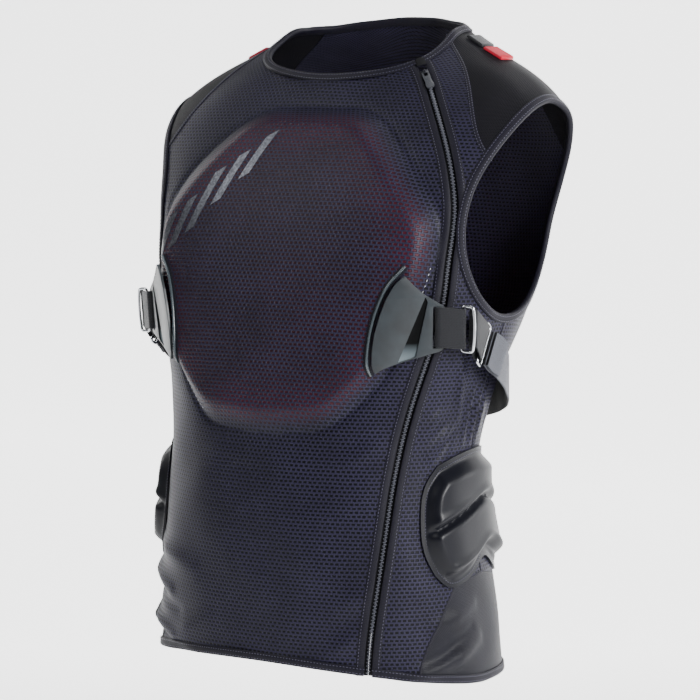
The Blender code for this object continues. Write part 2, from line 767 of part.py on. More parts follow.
def hip_pad(name, side):
    left = line(smooth_line(deg(*[(HIP_MID + t, z) for t, z in HIP_SIDE]), 30), 6)
    right = line(smooth_line(deg(*[(HIP_MID - t, z) for t, z in HIP_SIDE]), 30), 6)
    across = (0.0, 0.07, 0.17, 0.28, 0.39, 0.5, 0.61, 0.72, 0.83, 0.93, 1.0)
    low = line(smooth_line(both_ways(HIP_LOW), 60), across)
    top = line(smooth_line(both_ways(HIP_TOP), 60), across)
    grid = coons(left, right, low, top, across)
    loop = np.concatenate([low[:-1], right[:-1], top[::-1][:-1], left[::-1][:-1]])
    x = np.clip((inside_by(grid[..., 0], grid[..., 1], loop) - 0.006) / 0.020, 0, 1)
    high = HIP_FLANGE + HIP_RISE * x * x * (3 - 2 * x)
    if side < 0:
        grid = mirror(grid)[:, ::-1]
        high = high[:, ::-1]
    under = CLOTH + 0.0012
    nv, nu = high.shape
    return solid(name, lift(grid[..., 0], grid[..., 1], under + high),
                 lift(grid[..., 0], grid[..., 1], under), grid_faces(nv, nu))


hip_pad("hip_pad_left", 1)
hip_pad("hip_pad_right", -1)

# Side plates and the strap chain on each side, drawn for the wearer's
# left and mirrored. The plate's frame: along, up and outward.
BETA = math.radians(38.5)
PLATE_O = np.array([0.1135 * WIDE, -0.1685 * DEEP, -0.270 * TALL])
ALONG = np.array([math.cos(BETA), math.sin(BETA), 0.0])
UP = np.array([0.0, 0.0, 1.0])
OUT = np.cross(ALONG, UP)
PLATE = ((29.8, 49.0), (20.5, 40.0), (12.5, 26.0), (7.0, 11.0), (2.2, -6.0), (0.0, -22.0), (-0.2, -36.0),
         (2.7, -44.0), (10.0, -39.3), (22.4, -34.7), (36.5, -30.3), (51.0, -26.5), (64.5, -22.5),
         (67.5, -20.0), (67.5, 18.5), (65.5, 21.0), (58.0, 25.5), (49.5, 30.5), (39.5, 39.0))
SLOT = ((57.0, -19.8), (61.0, -19.8), (61.0, 19.8), (57.0, 19.8))


def plate_low(a, b):
    """Height of the plate's back over its frame, clear of the cloth."""
    fall = 0.0010 * min(b, 0.0) ** 2 * max(0.0, 1 - max(a, 0.0) / 60)
    return 5.2 + 0.07 * b - fall


def plate_point(a, b, n, side):
    p = PLATE_O + ALONG * a * mm + UP * b * mm + OUT * n * mm
    return np.array([p[0] * side, p[1], p[2]])


def wing(name, side):
    """A plate with a slot, following its own gentle twist."""
    inner = [(a, b) for b in (-30, -15, 0, 15, 30) for a in (12, 28, 44)]
    rim = list(PLATE)[::-1]
    pts = np.array(rim + list(SLOT) + inner, float)
    n = len(rim)
    keep = np.ones(len(pts), bool)
    deep = inside_by(pts[:, 0], pts[:, 1], pts[:n])
    keep[n + 4:] = deep[n + 4:] > 3.0
    pts = pts[keep]
    loops = [list(range(n)), list(range(n, n + 4))]
    slot = pts[n:n + 4]
    faces = []
    for f in net(pts, loops):
        mid = pts[list(f)].mean(axis=0)
        if inside_by(mid[0], mid[1], slot) < 0:
            faces.append(f)
    low = [plate_point(a, b, plate_low(a, b), side) for a, b in pts]
    high = [plate_point(a, b, plate_low(a, b) + 2.6, side) for a, b in pts]
    return solid(name, high, low, faces)


def path_frames(points):
    p = np.array(points, float)
    t = np.zeros_like(p)
    t[1:-1] = p[2:] - p[:-2]
    t[0] = p[1] - p[0]
    t[-1] = p[-1] - p[-2]
    t /= np.linalg.norm(t, axis=1, keepdims=True)
    return p, t


def ring_loop(name, centre, along, up, out, long, tall, wire):
    """A four sided wire frame."""
    rings = []
    half = wire / 2
    for sa, sb in ((-1, -1), (1, -1), (1, 1), (-1, 1)):
        corner = []
        for da, dn in ((-half, -half), (half, -half), (half, half), (-half, half)):
            corner.append(centre + along * sa * (long / 2 + da) + up * sb * (tall / 2 + da) + out * dn)
        rings.append(corner)
    return tube(name, np.array(rings), True)


def flat_loop(name, start, end, up, up_start, out, tall, half_gap, thick, steps=4):
    """A band folded round two bars, seen as a long loop from the end."""
    along = end - start
    along /= np.linalg.norm(along)
    inner = []
    outer = []
    for centre, first in ((end, -90), (start, 90)):
        for k in range(steps + 1):
            a = math.radians(first + 180 * k / steps)
            d = along * math.cos(a) + out * math.sin(a)
            inner.append(centre + d * half_gap)
            outer.append(centre + d * (half_gap + thick))
    rings = []
    for k, (a, b) in enumerate(zip(inner, outer)):
        rise = (up if k <= steps else up_start) * tall / 2
        rings.append([a - rise, b - rise, b + rise, a + rise])
    return tube(name, np.array(rings), True)


def flip(v, side):
    return np.array([v[0] * side, v[1], v[2]])


# Height of the strap's middle falls to the back.
STRAP = ((0.1895, -0.0915, -0.2880), (0.1940, -0.0700, -0.3030), (0.1890, -0.0460, -0.3190),
         (0.1755, -0.0200, -0.3340), (0.1550, 0.0000, -0.3450), (0.1300, 0.0140, -0.3530),
         (0.1000, 0.0235, -0.3580), (0.0700, 0.0300, -0.3600))


def strap_line():
    p = np.array(STRAP) * (WIDE, DEEP, TALL)
    v = np.concatenate([[0], np.cumsum(np.linalg.norm(np.diff(p, axis=0), axis=1))])
    w = np.concatenate([[0, 0.0078], np.linspace(0.024, v[-1], 13)])
    return np.stack([spline(v, p[:, k])(w) for k in range(3)], -1)


def strap_chain(tag, side):
    """Web, hook, strap end, adjuster and strap. The hook's outer bar lies
    over the strap end."""
    wing("wing_" + tag, side)
    bar_a = plate_point(64.3, 0.0, plate_low(64.3, 0.0) + 1.3, 1)
    bar_b = plate_point(83.0, -1.5, plate_low(64.3, 0.0) + 0.8, 1)
    lift_up = UP + OUT * 0.07
    lift_up /= np.linalg.norm(lift_up)
    tilt = flip(lift_up, side)
    flat_loop("front_web_" + tag, flip(bar_a, side), flip(bar_b, side), tilt, tilt, flip(OUT, side),
              38.0 * mm, 3.9 * mm, 1.5 * mm)
    along = bar_b - bar_a
    along /= np.linalg.norm(along)
    tipped = along + OUT * 0.6
    tipped /= np.linalg.norm(tipped)
    mid = bar_b + along * 1.6 * mm + tipped * 5.5 * mm
    ring_loop("hook_" + tag, flip(mid, side), flip(tipped, side), tilt, flip(np.cross(tipped, lift_up), side),
              11.0 * mm, 43.0 * mm, 2.8 * mm)
    bar_c = bar_b + along * 12.6 * mm + OUT * 0.4 * mm
    path = strap_line()
    lean = path[0] - bar_c
    lean /= np.linalg.norm(lean)
    out = np.cross(lean, UP)
    out /= np.linalg.norm(out)
    up2 = np.cross(out, lean)
    flat_loop("strap_end_" + tag, flip(bar_c, side), flip(path[0] - lean * 4 * mm, side),
              flip(up2, side), tilt, flip(out, side), 36.0 * mm, 2.9 * mm, 1.5 * mm)
    ring_loop("adjuster_" + tag, flip(path[0] + lean * 1.2 * mm, side), flip(lean, side), flip(up2, side),
              flip(out, side), 9.0 * mm, 43.0 * mm, 2.6 * mm)
    p, t = path_frames(path[1:])
    rings = []
    for k, (q, d) in enumerate(zip(p, t)):
        o = np.cross(d, UP)
        o /= np.linalg.norm(o)
        w = np.cross(o, d)
        if k == 0:
            o = out
            w = up2
        half = w * 18.5 * mm
        thick = o * 0.9 * mm
        rings.append([flip(v, side) for v in (q - half - thick, q - half + thick, q + half + thick,
                                              q + half - thick)])
    tube("side_strap_" + tag, np.array(rings))


strap_chain("left", 1)
strap_chain("right", -1)


# Trim round the slits that the plates come out of.
WELT = ((32.5, 56.0), (28.2, 51.5), (16.9, 39.5), (9.2, 25.5), (3.3, 10.0), (-1.0, -7.0), (-3.2, -23.0),
        (-3.4, -37.0), (-0.6, -46.5))


def on_cloth(a, b):
    """Cloth position straight behind a point of the plate's frame."""
    target = plate_point(a, b, 0.0, 1)
    s = 0.12
    z = target[2]
    for _ in range(30):
        q = lift(np.array([s]), np.array([z]), bump(np.array([s]), np.array([z])) + CLOTH)[0]
        gap = target - q
        ps, pz = slopes(np.array([s]), np.array([z]))
        s += float(np.dot(gap, ps[0]) / np.dot(ps[0], ps[0])) * 0.7
        z += float(np.dot(gap, pz[0]) / np.dot(pz[0], pz[0])) * 0.7
    return s, z


def welt(name, side):
    path = np.array([on_cloth(a, b) for a, b in WELT])
    pts = lift(path[:, 0], path[:, 1], bump(path[:, 0], path[:, 1]) + CLOTH + 0.0020)
    pts[:, 0] *= side
    p, t = path_frames(pts)
    rings = []
    for q, d, (s, z) in zip(p, t, path):
        o = lift(np.array([s]), np.array([z]), 1.0)[0] - base(s, z)
        o = flip(o, side)
        w = np.cross(d, o)
        w /= np.linalg.norm(w)
        rings.append([q + (w * math.cos(k * math.pi / 3) + o * math.sin(k * math.pi / 3)) * 1.4 * mm
                      for k in range(6)])
    tube(name, np.array(rings))


welt("wing_welt_left", 1)
welt("wing_welt_right", -1)

# Tabs on the shoulders and the patches that hold the straps at the back.


def patch(name, low, high, nu, nv, off, thick, side):
    s = np.linspace(RAD * math.radians(low[0]), RAD * math.radians(high[0]), nu + 1)
    z = np.linspace(low[1], high[1], nv + 1) * TALL
    ss, zz = np.meshgrid(s, z)
    grid = np.stack([ss, zz], -1)
    if side < 0:
        grid = mirror(grid)[:, ::-1]
    return cloth(name, grid, CLOTH + off, thick)


for tag, side in (("left", 1), ("right", -1)):
    patch("shoulder_tab_" + tag, (84, -0.0110), (110, -0.0005), 5, 2, 0.0010, 0.0026, side)
    patch("red_tab_" + tag, (83, -0.0235), (104, -0.0128), 5, 3, 0.0010, 0.0034, side)
    patch("strap_patch_" + tag, (146, -0.3815), (158, -0.3385), 3, 2, 0.0014, 0.0019, side)


# The pull turns about the pin in the slider's lug.
PIN = ZF[0] - ZF[2] * 0.7 * mm + ZF[3] * 4.5 * mm
pull.data.transform(Matrix.Translation(-Vector(PIN)))
pull.location = PIN

# Finishes: colour, roughness and metallic, by the names they apply to.
FINISHES = {
    "mesh_cloth": (("front_panel", "left_front_panel", "back_panel"), (0.045, 0.042, 0.060), 0.85, 0.0),
    "yoke_cloth": (("yoke_",), (0.040, 0.038, 0.055), 0.85, 0.0),
    "side_knit": (("side_gusset_",), (0.050, 0.050, 0.066), 0.75, 0.0),
    "edge_tape": (("neck_binding", "hem_binding", "armhole_binding_"), (0.020, 0.018, 0.040), 0.8, 0.0),
    "guard_foam": (("chest_guard",), (0.30, 0.02, 0.06), 0.7, 0.0),
    "pad_lycra": (("hip_pad_",), (0.022, 0.024, 0.040), 0.5, 0.0),
    "plate_nylon": (("wing_left", "wing_right"), (0.16, 0.19, 0.22), 0.4, 0.0),
    "welt_rubber": (("wing_welt_",), (0.20, 0.23, 0.26), 0.3, 0.0),
    "webbing": (("front_web_", "strap_end_", "side_strap_", "strap_patch_", "shoulder_tab_"),
                (0.030, 0.031, 0.036), 0.8, 0.0),
    "bright_steel": (("hook_", "adjuster_"), (0.75, 0.76, 0.78), 0.15, 1.0),
    "zip_cloth": (("zip_tape_", "zip_guard"), (0.020, 0.020, 0.032), 0.8, 0.0),
    "zip_nylon": (("zip_coil",), (0.030, 0.030, 0.036), 0.45, 0.0),
    "black_metal": (("zip_slider",), (0.04, 0.04, 0.045), 0.35, 1.0),
    "pull_rubber": (("zip_pull",), (0.03, 0.03, 0.035), 0.5, 0.0),
    "red_rubber": (("red_tab_",), (0.60, 0.01, 0.03), 0.45, 0.0),
}
for finish, (starts, colour, rough, metal) in FINISHES.items():
    material = bpy.data.materials.new(finish)
    material.use_nodes = True
    shader = material.node_tree.nodes["Principled BSDF"]
    shader.inputs["Base Color"].default_value = (*colour, 1.0)
    shader.inputs["Roughness"].default_value = rough
    shader.inputs["Metallic"].default_value = metal
    for body in PARTS.objects:
        if body.name.startswith(starts):
            body.data.materials.append(material)
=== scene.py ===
# %% [markdown]
# # A body protector vest
# The real vest is sewn from knitted mesh over foam guards. Plastic plates, wire hooks and webbing
# close it at the ribs. The imported model is loaded first as a fixed frame, and every piece that is
# made here is laid over it in the same metres.

# %% Load the frame
import math

import bpy
import numpy as np
from mathutils import Matrix, Vector
from mathutils.geometry import delaunay_2d_cdt


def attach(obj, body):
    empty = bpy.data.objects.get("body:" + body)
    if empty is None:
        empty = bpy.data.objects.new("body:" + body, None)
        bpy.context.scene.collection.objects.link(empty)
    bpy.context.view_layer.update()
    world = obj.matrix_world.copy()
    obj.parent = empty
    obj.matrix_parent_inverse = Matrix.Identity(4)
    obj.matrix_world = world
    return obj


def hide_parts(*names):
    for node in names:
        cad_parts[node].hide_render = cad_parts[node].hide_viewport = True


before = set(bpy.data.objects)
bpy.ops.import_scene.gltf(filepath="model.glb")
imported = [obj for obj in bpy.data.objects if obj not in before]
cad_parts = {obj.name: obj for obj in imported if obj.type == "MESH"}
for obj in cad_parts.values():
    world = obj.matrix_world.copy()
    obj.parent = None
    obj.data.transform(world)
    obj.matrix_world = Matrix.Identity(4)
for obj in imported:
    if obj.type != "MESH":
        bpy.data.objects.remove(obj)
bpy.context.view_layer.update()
mm = 0.001

# %% [markdown]
# ## Camera, floor and light
# The photo looks from the wearer's front left, a little from above, with a long lens. A long lens
# keeps the two sides of the vest in true proportion. The light is a plain studio set: a key and a fill
# in front, a strip at each side that draws a pale edge along the dark cloth, and one lamp on top. The
# paper glows only behind the vest, so that it stays white without washing out the dark mesh.

# %% Camera
AZIMUTH = math.radians(33)
ELEVATION = math.radians(6)
AIM = Vector((0.0, -0.03, -0.31))
DISTANCE = 2.7
SENSOR = 36
FOCAL_PIXELS = 2700
PICTURE_PIXELS = 700
toward = Vector((math.sin(AZIMUTH) * math.cos(ELEVATION), -math.cos(AZIMUTH) * math.cos(ELEVATION),
                 math.sin(ELEVATION)))
lens = bpy.data.cameras.new("camera")
lens.sensor_width = SENSOR
lens.lens = FOCAL_PIXELS / PICTURE_PIXELS * SENSOR
camera = bpy.data.objects.new("camera", lens)
bpy.context.scene.collection.objects.link(camera)
camera.location = AIM + toward * DISTANCE
camera.rotation_euler = (-toward).to_track_quat("-Z", "Y").to_euler()
bpy.context.scene.camera = camera
print("camera at", [round(x, 3) for x in camera.location])


# %% Colours, nodes and selecting
def hex_colour(code):
    """An sRGB hex colour as the linear values that a shader takes."""
    parts = [int(code[k:k + 2], 16) / 255 for k in (1, 3, 5)]
    return [c / 12.92 if c <= 0.04045 else ((c + 0.055) / 1.055) ** 2.4 for c in parts] + [1.0]


def add(tree, kind, inputs=(), **settings):
    """Adds a node with its settings, and gives or links its inputs."""
    node = tree.nodes.new("ShaderNode" + kind)
    for key, value in settings.items():
        setattr(node, key, value)
    for key, value in dict(inputs).items():
        if isinstance(value, bpy.types.NodeSocket):
            tree.links.new(value, node.inputs[key])
        else:
            node.inputs[key].default_value = value
    return node


def finish(name, colour=None, **sockets):
    """A new material with its Principled shader's fixed values."""
    material = bpy.data.materials.new(name)
    material.use_nodes = True
    shader = material.node_tree.nodes["Principled BSDF"]
    for key, value in sockets.items():
        shader.inputs[key.replace("_", " ").title().replace("Ior", "IOR")].default_value = value
    if colour:
        shader.inputs["Base Color"].default_value = hex_colour(colour)
    return material, material.node_tree, shader


def noise(tree, place, scale, detail=2.0):
    return add(tree, "TexNoise", {"Vector": place, "Scale": scale, "Detail": detail})


def calc(tree, operation, a, b):
    return add(tree, "Math", {0: a, 1: b}, operation=operation).outputs[0]


def spread(tree, value, low, high, to_low=0.0, to_high=1.0):
    """Stretches a value from one range to another."""
    limits = {0: value, 1: low, 2: high, 3: to_low, 4: to_high}
    return add(tree, "MapRange", limits).outputs[0]


def shaded(tree, shader, colour, shade):
    """Gives the surface this colour times a shade."""
    grey = add(tree, "CombineColor", {0: shade, 1: shade, 2: shade}).outputs[0]
    tone = add(tree, "Mix", {"Factor": 1.0, 6: colour, 7: grey}, data_type="RGBA", blend_type="MULTIPLY")
    tree.links.new(tone.outputs[2], shader.inputs["Base Color"])


def ramp(tree, shader, value, dark, light, spots=(0.0, 1.0)):
    """Colours the surface between two shades by a value from 0 to 1."""
    tone = add(tree, "ValToRGB", {0: value})
    for stop, spot, code in zip(tone.color_ramp.elements, spots, (dark, light)):
        stop.position = spot
        stop.color = hex_colour(code)
    tree.links.new(tone.outputs[0], shader.inputs["Base Color"])


def bumped(tree, shader, height, distance, strength=1.0):
    """Lets a value raise the surface by this many millimetres."""
    bump = add(tree, "Bump", {"Height": height, "Distance": distance * mm, "Strength": strength})
    tree.links.new(bump.outputs[0], shader.inputs["Normal"])


def grained(name, scale, dark, light, detail=2.0, spots=(0.0, 1.0), **sockets):
    """A material with a fine grain between two shades."""
    material, tree, shader = finish(name, **sockets)
    grain = noise(tree, add(tree, "TexCoord").outputs["Object"], scale, detail).outputs["Fac"]
    ramp(tree, shader, grain, dark, light, spots)
    return material, tree, shader, grain


def put(name, data):
    """A new object of the scene that holds this data."""
    thing = bpy.data.objects.new(name, data)
    bpy.context.scene.collection.objects.link(thing)
    return thing


def alone(thing):
    """Selects one object and makes it active."""
    bpy.ops.object.select_all(action="DESELECT")
    thing.select_set(True)
    bpy.context.view_layer.objects.active = thing


print("helpers ready")

# %% Floor and soft light
bpy.ops.object.select_all(action="DESELECT")
bpy.ops.mesh.primitive_plane_add(size=14, location=(0, 0, -1.15))
floor = bpy.context.object
floor.name = "floor"
bpy.ops.object.mode_set(mode="EDIT")
bpy.ops.mesh.select_all(action="DESELECT")
bpy.ops.object.mode_set(mode="OBJECT")
for edge in floor.data.edges:
    edge.select = all(floor.data.vertices[k].co.y > 6 for k in edge.vertices)
bpy.ops.object.mode_set(mode="EDIT")
bpy.ops.mesh.select_mode(type="EDGE")
bpy.ops.mesh.extrude_region_move(TRANSFORM_OT_translate={"value": (0, 0, 7)})
bpy.ops.object.mode_set(mode="OBJECT")
for edge in floor.data.edges:
    edge.select = all(v.co.y > 6 and v.co.z < 1 for v in [floor.data.vertices[k] for k in edge.vertices])
bpy.ops.object.mode_set(mode="EDIT")
bpy.ops.mesh.bevel(offset=3, segments=16)
bpy.ops.object.mode_set(mode="OBJECT")
bpy.ops.object.shade_smooth()
paper, tree, shader = finish("backdrop_paper", "#fafafa", roughness=0.9)
shader.inputs["Emission Color"].default_value = hex_colour("#ffffff")
# The glow grows with the distance behind the vest, so the paper in front of it gives no light.
BEHIND = (-0.545, 0.839, 0.0)
place = add(tree, "TexCoord").outputs["Object"]
far_back = add(tree, "VectorMath", {0: place, 1: BEHIND}, operation="DOT_PRODUCT").outputs["Value"]
tree.links.new(spread(tree, far_back, 0.6, 2.4, 0.45, 2.8), shader.inputs["Emission Strength"])
floor.data.materials.append(paper)

world = bpy.data.worlds.new("studio")
bpy.context.scene.world = world
world.use_nodes = True
world.node_tree.nodes["Background"].inputs[0].default_value = hex_colour("#f4f6fa")
world.node_tree.nodes["Background"].inputs[1].default_value = 0.1
for name, place, wide, tall, power in (
        ("key", (-1.7, -1.9, 1.7), 0.9, 1.4, 34), ("fill", (2.5, -0.9, 0.6), 0.5, 1.2, 115),
        ("strip_left", (-2.0, 0.5, 0.2), 0.4, 1.6, 18), ("strip_right", (2.0, 1.1, 0.1), 0.4, 1.6, 26),
        ("top", (0.1, 0.3, 2.2), 1.2, 1.0, 14)):
    lamp = bpy.data.lights.new(name, "AREA")
    lamp.shape = "RECTANGLE"
    lamp.size = wide
    lamp.size_y = tall
    lamp.energy = power
    box = put(name, lamp)
    box.location = place
    box.rotation_euler = (AIM - Vector(place)).to_track_quat("-Z", "Y").to_euler()
print("lights", len(bpy.data.lights))

# %% [markdown]
# ## The worn body
# The cloth follows a torso. It could be sculpted, but seams and pads would then have to be fitted by
# hand. Here the torso is a row of rounded cross sections with curves through them, so that any point
# of the cloth is given by two numbers, the side distance round the body and the height. Seams, pads,
# tapes and stitches all use the same two numbers and lie on each other exactly.

# %% Cross sections of the torso
LENGTH = 0.62
HALF = 0.22
DEPTH = 0.13
CLOTH = 0.0016
SEAM = 0.00016
EDGE = 1.2 * mm
ZIP_GAP = 0.1 * mm
RAD = 0.19
TURN = 2 * math.pi * RAD
PAD = 0.015
PAD_SLOPE = 0.028
FOOT = -0.008
# Shares of LENGTH, HALF, DEPTH, DEPTH, then the squareness and how far the side line lies back.
SECTIONS = (
    (-1.129, 0.818, 0.977, 0.969, 2.25, -0.492), (-1.000, 0.809, 0.969, 0.954, 2.25, -0.508),
    (-0.839, 0.786, 0.946, 0.877, 2.20, -0.554), (-0.694, 0.741, 0.908, 0.662, 2.15, -0.569),
    (-0.548, 0.773, 0.875, 0.715, 2.25, -0.488), (-0.435, 0.845, 0.918, 0.885, 2.65, -0.346),
    (-0.323, 0.891, 0.915, 0.938, 2.95, -0.223), (-0.210, 0.968, 0.818, 0.892, 3.00, -0.108),
    (-0.145, 0.995, 0.715, 0.785, 2.80, -0.031), (-0.097, 0.927, 0.646, 0.700, 2.50, 0.046),
    (-0.048, 0.736, 0.585, 0.615, 2.20, 0.138), (-0.008, 0.514, 0.523, 0.538, 2.00, 0.192),
    (0.029, 0.382, 0.477, 0.477, 2.00, 0.215), (0.065, 0.327, 0.431, 0.431, 2.00, 0.231))


def spline(xs, ys):
    """A natural cubic curve through the points."""
    xs = np.array(xs, float)
    ys = np.array(ys, float)
    n = len(xs)
    h = np.diff(xs)
    a = np.zeros((n, n))
    b = np.zeros(n)
    a[0, 0] = a[-1, -1] = 1
    for i in range(1, n - 1):
        a[i, i - 1:i + 2] = h[i - 1], 2 * (h[i - 1] + h[i]), h[i]
        b[i] = 6 * ((ys[i + 1] - ys[i]) / h[i] - (ys[i] - ys[i - 1]) / h[i - 1])
    m = np.linalg.solve(a, b)

    def value(x):
        x = np.clip(np.asarray(x, float), xs[0], xs[-1])
        i = np.clip(np.searchsorted(xs, x) - 1, 0, n - 2)
        t0 = xs[i + 1] - x
        t1 = x - xs[i]
        return ((m[i] * t0 ** 3 + m[i + 1] * t1 ** 3) / (6 * h[i])
                + (ys[i] / h[i] - m[i] * h[i] / 6) * t0 + (ys[i + 1] / h[i] - m[i + 1] * h[i] / 6) * t1)
    return value


TABLE = np.array(SECTIONS) * (LENGTH, HALF, DEPTH, DEPTH, 1, DEPTH)
CURVES = [spline(TABLE[:, 0], TABLE[:, k]) for k in range(1, 6)]


def base(s, z):
    """Point of the torso under the cloth."""
    t = np.asarray(s, float) / RAD
    z = np.asarray(z, float)
    wide, front, back, power, yc = [c(z) for c in CURVES]
    co = np.cos(t)
    si = np.sin(t)
    r = (np.abs(co) ** power + np.abs(si) ** power) ** (-1 / power)
    deep = np.where(co > 0, front, back)
    return np.stack([wide * si * r, yc - deep * co * r, z + 0 * t], -1)


def slopes(s, z):
    e = 2e-4
    return (base(s + e, z) - base(s - e, z)) / (2 * e), (base(s, z + e) - base(s, z - e)) / (2 * e)


def outward(s, z):
    ps, pz = slopes(np.asarray(s, float), np.asarray(z, float))
    n = np.cross(ps, pz)
    return n / np.linalg.norm(n, axis=-1, keepdims=True)


def lift(s, z, off):
    s = np.asarray(s, float)
    return base(s, z) + outward(s, z) * np.broadcast_to(np.asarray(off, float), s.shape)[..., None]


print("sections", len(SECTIONS))

# %% [markdown]
# ## What raises the cloth
# The foam guard lifts the mesh over the chest in a soft step, and the loose mesh folds under the
# straps and at the hem. Each fold is one row of a table: where it runs, how wide it is and how high
# it stands. A negative height is a crease.

# %% The guard's outline and the folds
GUARD = ((0.056, -0.074), (0.146, -0.178), (0.151, -0.226), (0.127, -0.322), (0.080, -0.366),
         (0.0, -0.372))
# From and to, in degrees round the body and height, then half width and height in millimetres.
FOLDS = (
    (81, -0.322, 82, -0.384, 4, 3.4), (87, -0.318, 88, -0.386, 4, 3.8),
    (93.5, -0.322, 94, -0.388, 4, 3.2), (84, -0.325, 85, -0.380, 3, -2.4),
    (90.5, -0.325, 91, -0.380, 3, -2.4), (70, -0.318, 77, -0.362, 5, 3.2),
    (64, -0.390, 75, -0.362, 5, 3.4), (66, -0.400, 76, -0.373, 4, -2.6),
    (60, -0.372, 68, -0.346, 5, 2.2), (66, -0.300, 74, -0.332, 6, 2.4),
    (48, -0.606, 66, -0.592, 7, 5.0), (60, -0.600, 86, -0.574, 8, 6.0),
    (58, -0.592, 82, -0.562, 5, -4.0), (62, -0.556, 84, -0.540, 7, 4.0),
    (-40, -0.588, -80, -0.564, 7, 7.0), (-28, -0.602, -72, -0.582, 6, -4.5),
    (-42, -0.542, -78, -0.518, 7, 6.0), (-36, -0.560, -72, -0.541, 6, -4.5),
    (-28, -0.514, -66, -0.496, 9, 3.6), (-20, -0.560, -42, -0.590, 9, 3.0),
    (24, -0.585, 36, -0.560, 8, 2.6), (-87, -0.320, -88, -0.385, 5, 2.6),
    (-80, -0.322, -81, -0.384, 5, 2.4), (30, -0.400, 44, -0.385, 8, 2.0),
    (26, -0.540, 40, -0.520, 10, 2.0), (-20, -0.395, 14, -0.402, 8, 1.6),
    (108, -0.330, 112, -0.390, 8, 2.6), (135, -0.430, 150, -0.405, 9, 2.6),
    (-112, -0.330, -114, -0.390, 8, 2.6), (180, -0.395, 160, -0.420, 10, 2.4),
    (-168, -0.440, -140, -0.415, 10, 2.6), (150, -0.540, 172, -0.556, 12, 2.4))


def rounded(points, reach):
    """Cuts each corner of a loop back by this reach with a small curve."""
    p = np.array(points, float)
    out = []
    for k in range(len(p)):
        before = p[k - 1] - p[k]
        after = p[(k + 1) % len(p)] - p[k]
        a = p[k] + before * min(reach / np.linalg.norm(before), 0.45)
        b = p[k] + after * min(reach / np.linalg.norm(after), 0.45)
        for u in np.linspace(0, 1, 8):
            out.append((1 - u) ** 2 * a + 2 * u * (1 - u) * p[k] + u * u * b)
    return np.array(out)


GUARD_LOOP = rounded(list(GUARD) + [(-x, z) for x, z in reversed(GUARD[:-1])], 0.024)


def to_line(points, a, b):
    """Distance from each point to the nearest of the lines a to b."""
    ab = b - a
    u = np.clip(((points[:, None] - a) * ab).sum(-1) / (ab ** 2).sum(-1), 0, 1)
    return np.linalg.norm(points[:, None] - a - ab * u[..., None], axis=-1)


def within(points, loop):
    """True for the points inside the loop."""
    a = loop
    b = np.roll(loop, -1, axis=0)
    over = (a[:, 1] > points[:, None, 1]) != (b[:, 1] > points[:, None, 1])
    rise = np.where(b[:, 1] == a[:, 1], 1e-12, b[:, 1] - a[:, 1])
    cross = a[:, 0] + (points[:, None, 1] - a[:, 1]) * (b[:, 0] - a[:, 0]) / rise
    return (over & (points[:, None, 0] < cross)).sum(-1) % 2 == 1


def inside_by(s, z, loop):
    """Distance to the loop, positive inside it."""
    shape = np.broadcast(s, z).shape
    flat = np.stack(np.broadcast_arrays(s, z), -1).reshape(-1, 2)
    out = []
    for k in range(0, len(flat), 4000):
        part = flat[k:k + 4000]
        d = to_line(part, loop, np.roll(loop, -1, axis=0)).min(-1)
        out.append(np.where(within(part, loop), d, -d))
    return np.concatenate(out).reshape(shape)


def relief(s, z):
    """Height of the cloth over the torso: guard, folds and slight waves."""
    deep = inside_by(s, z, GUARD_LOOP)
    x = np.clip((deep - FOOT) / PAD_SLOPE, 0, 1)
    high = PAD * x * x * (3 - 2 * x) - 1.4 * mm * np.exp(-((deep + 5 * mm) / (3 * mm)) ** 2)
    s = np.asarray(s, float)
    z = np.asarray(z, float)
    for t1, z1, t2, z2, half, rise in FOLDS:
        s1 = RAD * math.radians(t1)
        s2 = RAD * math.radians(t2)
        for turn in (0, TURN):
            d = np.array([s2 - s1, z2 - z1])
            u = ((s - turn - s1) * d[0] + (z - z1) * d[1]) / (d ** 2).sum()
            w = np.clip(u, 0, 1)
            away = np.hypot(s - turn - s1 - w * d[0], z - z1 - w * d[1])
            ends = np.clip(1.0 - np.abs(w - 0.5) * 1.4, 0.2, 1)
            high = high + rise * mm * ends * np.exp(-(away / (half * mm)) ** 2)
    calm = 1 - x
    return high + 0.0006 * calm * np.sin(s * 61 + 1.3 * np.sin(z * 37)) * np.sin(z * 43 + 0.7)


print("folds", len(FOLDS))

# %% [markdown]
# ## Seam and edge lines
# Each edge is drawn once, and the pieces on both sides of it share it. The zip's line is an S curve
# from the neck to the hem. The armhole is an ellipse, and the yokes cross the shoulders.

# %% Lines of the pattern
ZIP = ((37.0, -0.620), (37.3, -0.601), (42.0, -0.519), (47.3, -0.457), (50.6, -0.405), (52.1, -0.360),
       (52.6, -0.310), (51.6, -0.240), (50.3, -0.2125), (47.4, -0.166), (42.2, -0.129),
       (36.4, -0.092), (33.6, -0.055), (35.0, -0.020), (36.5, 0.010))
zip_s = spline([p[1] for p in ZIP], [RAD * math.radians(p[0]) for p in ZIP])
FRONT_JOIN = 152.6
BACK_JOIN = 27.4
YOKE = ((45.5, -0.092), (44.5, -0.068), (48.0, -0.042), (55.5, -0.020))


def deg(*pairs):
    return np.array([(RAD * math.radians(t), z) for t, z in pairs])


def hem_z(s):
    return -0.617 + 0.022 * np.clip(np.cos(np.asarray(s) / RAD), 0, 1) ** 1.5


def neck_z(s):
    c = np.cos(np.asarray(s) / RAD)
    return np.where(c > 0, 0.010 - 0.046 * np.abs(c) ** 1.8, 0.010 + 0.012 * c * c)


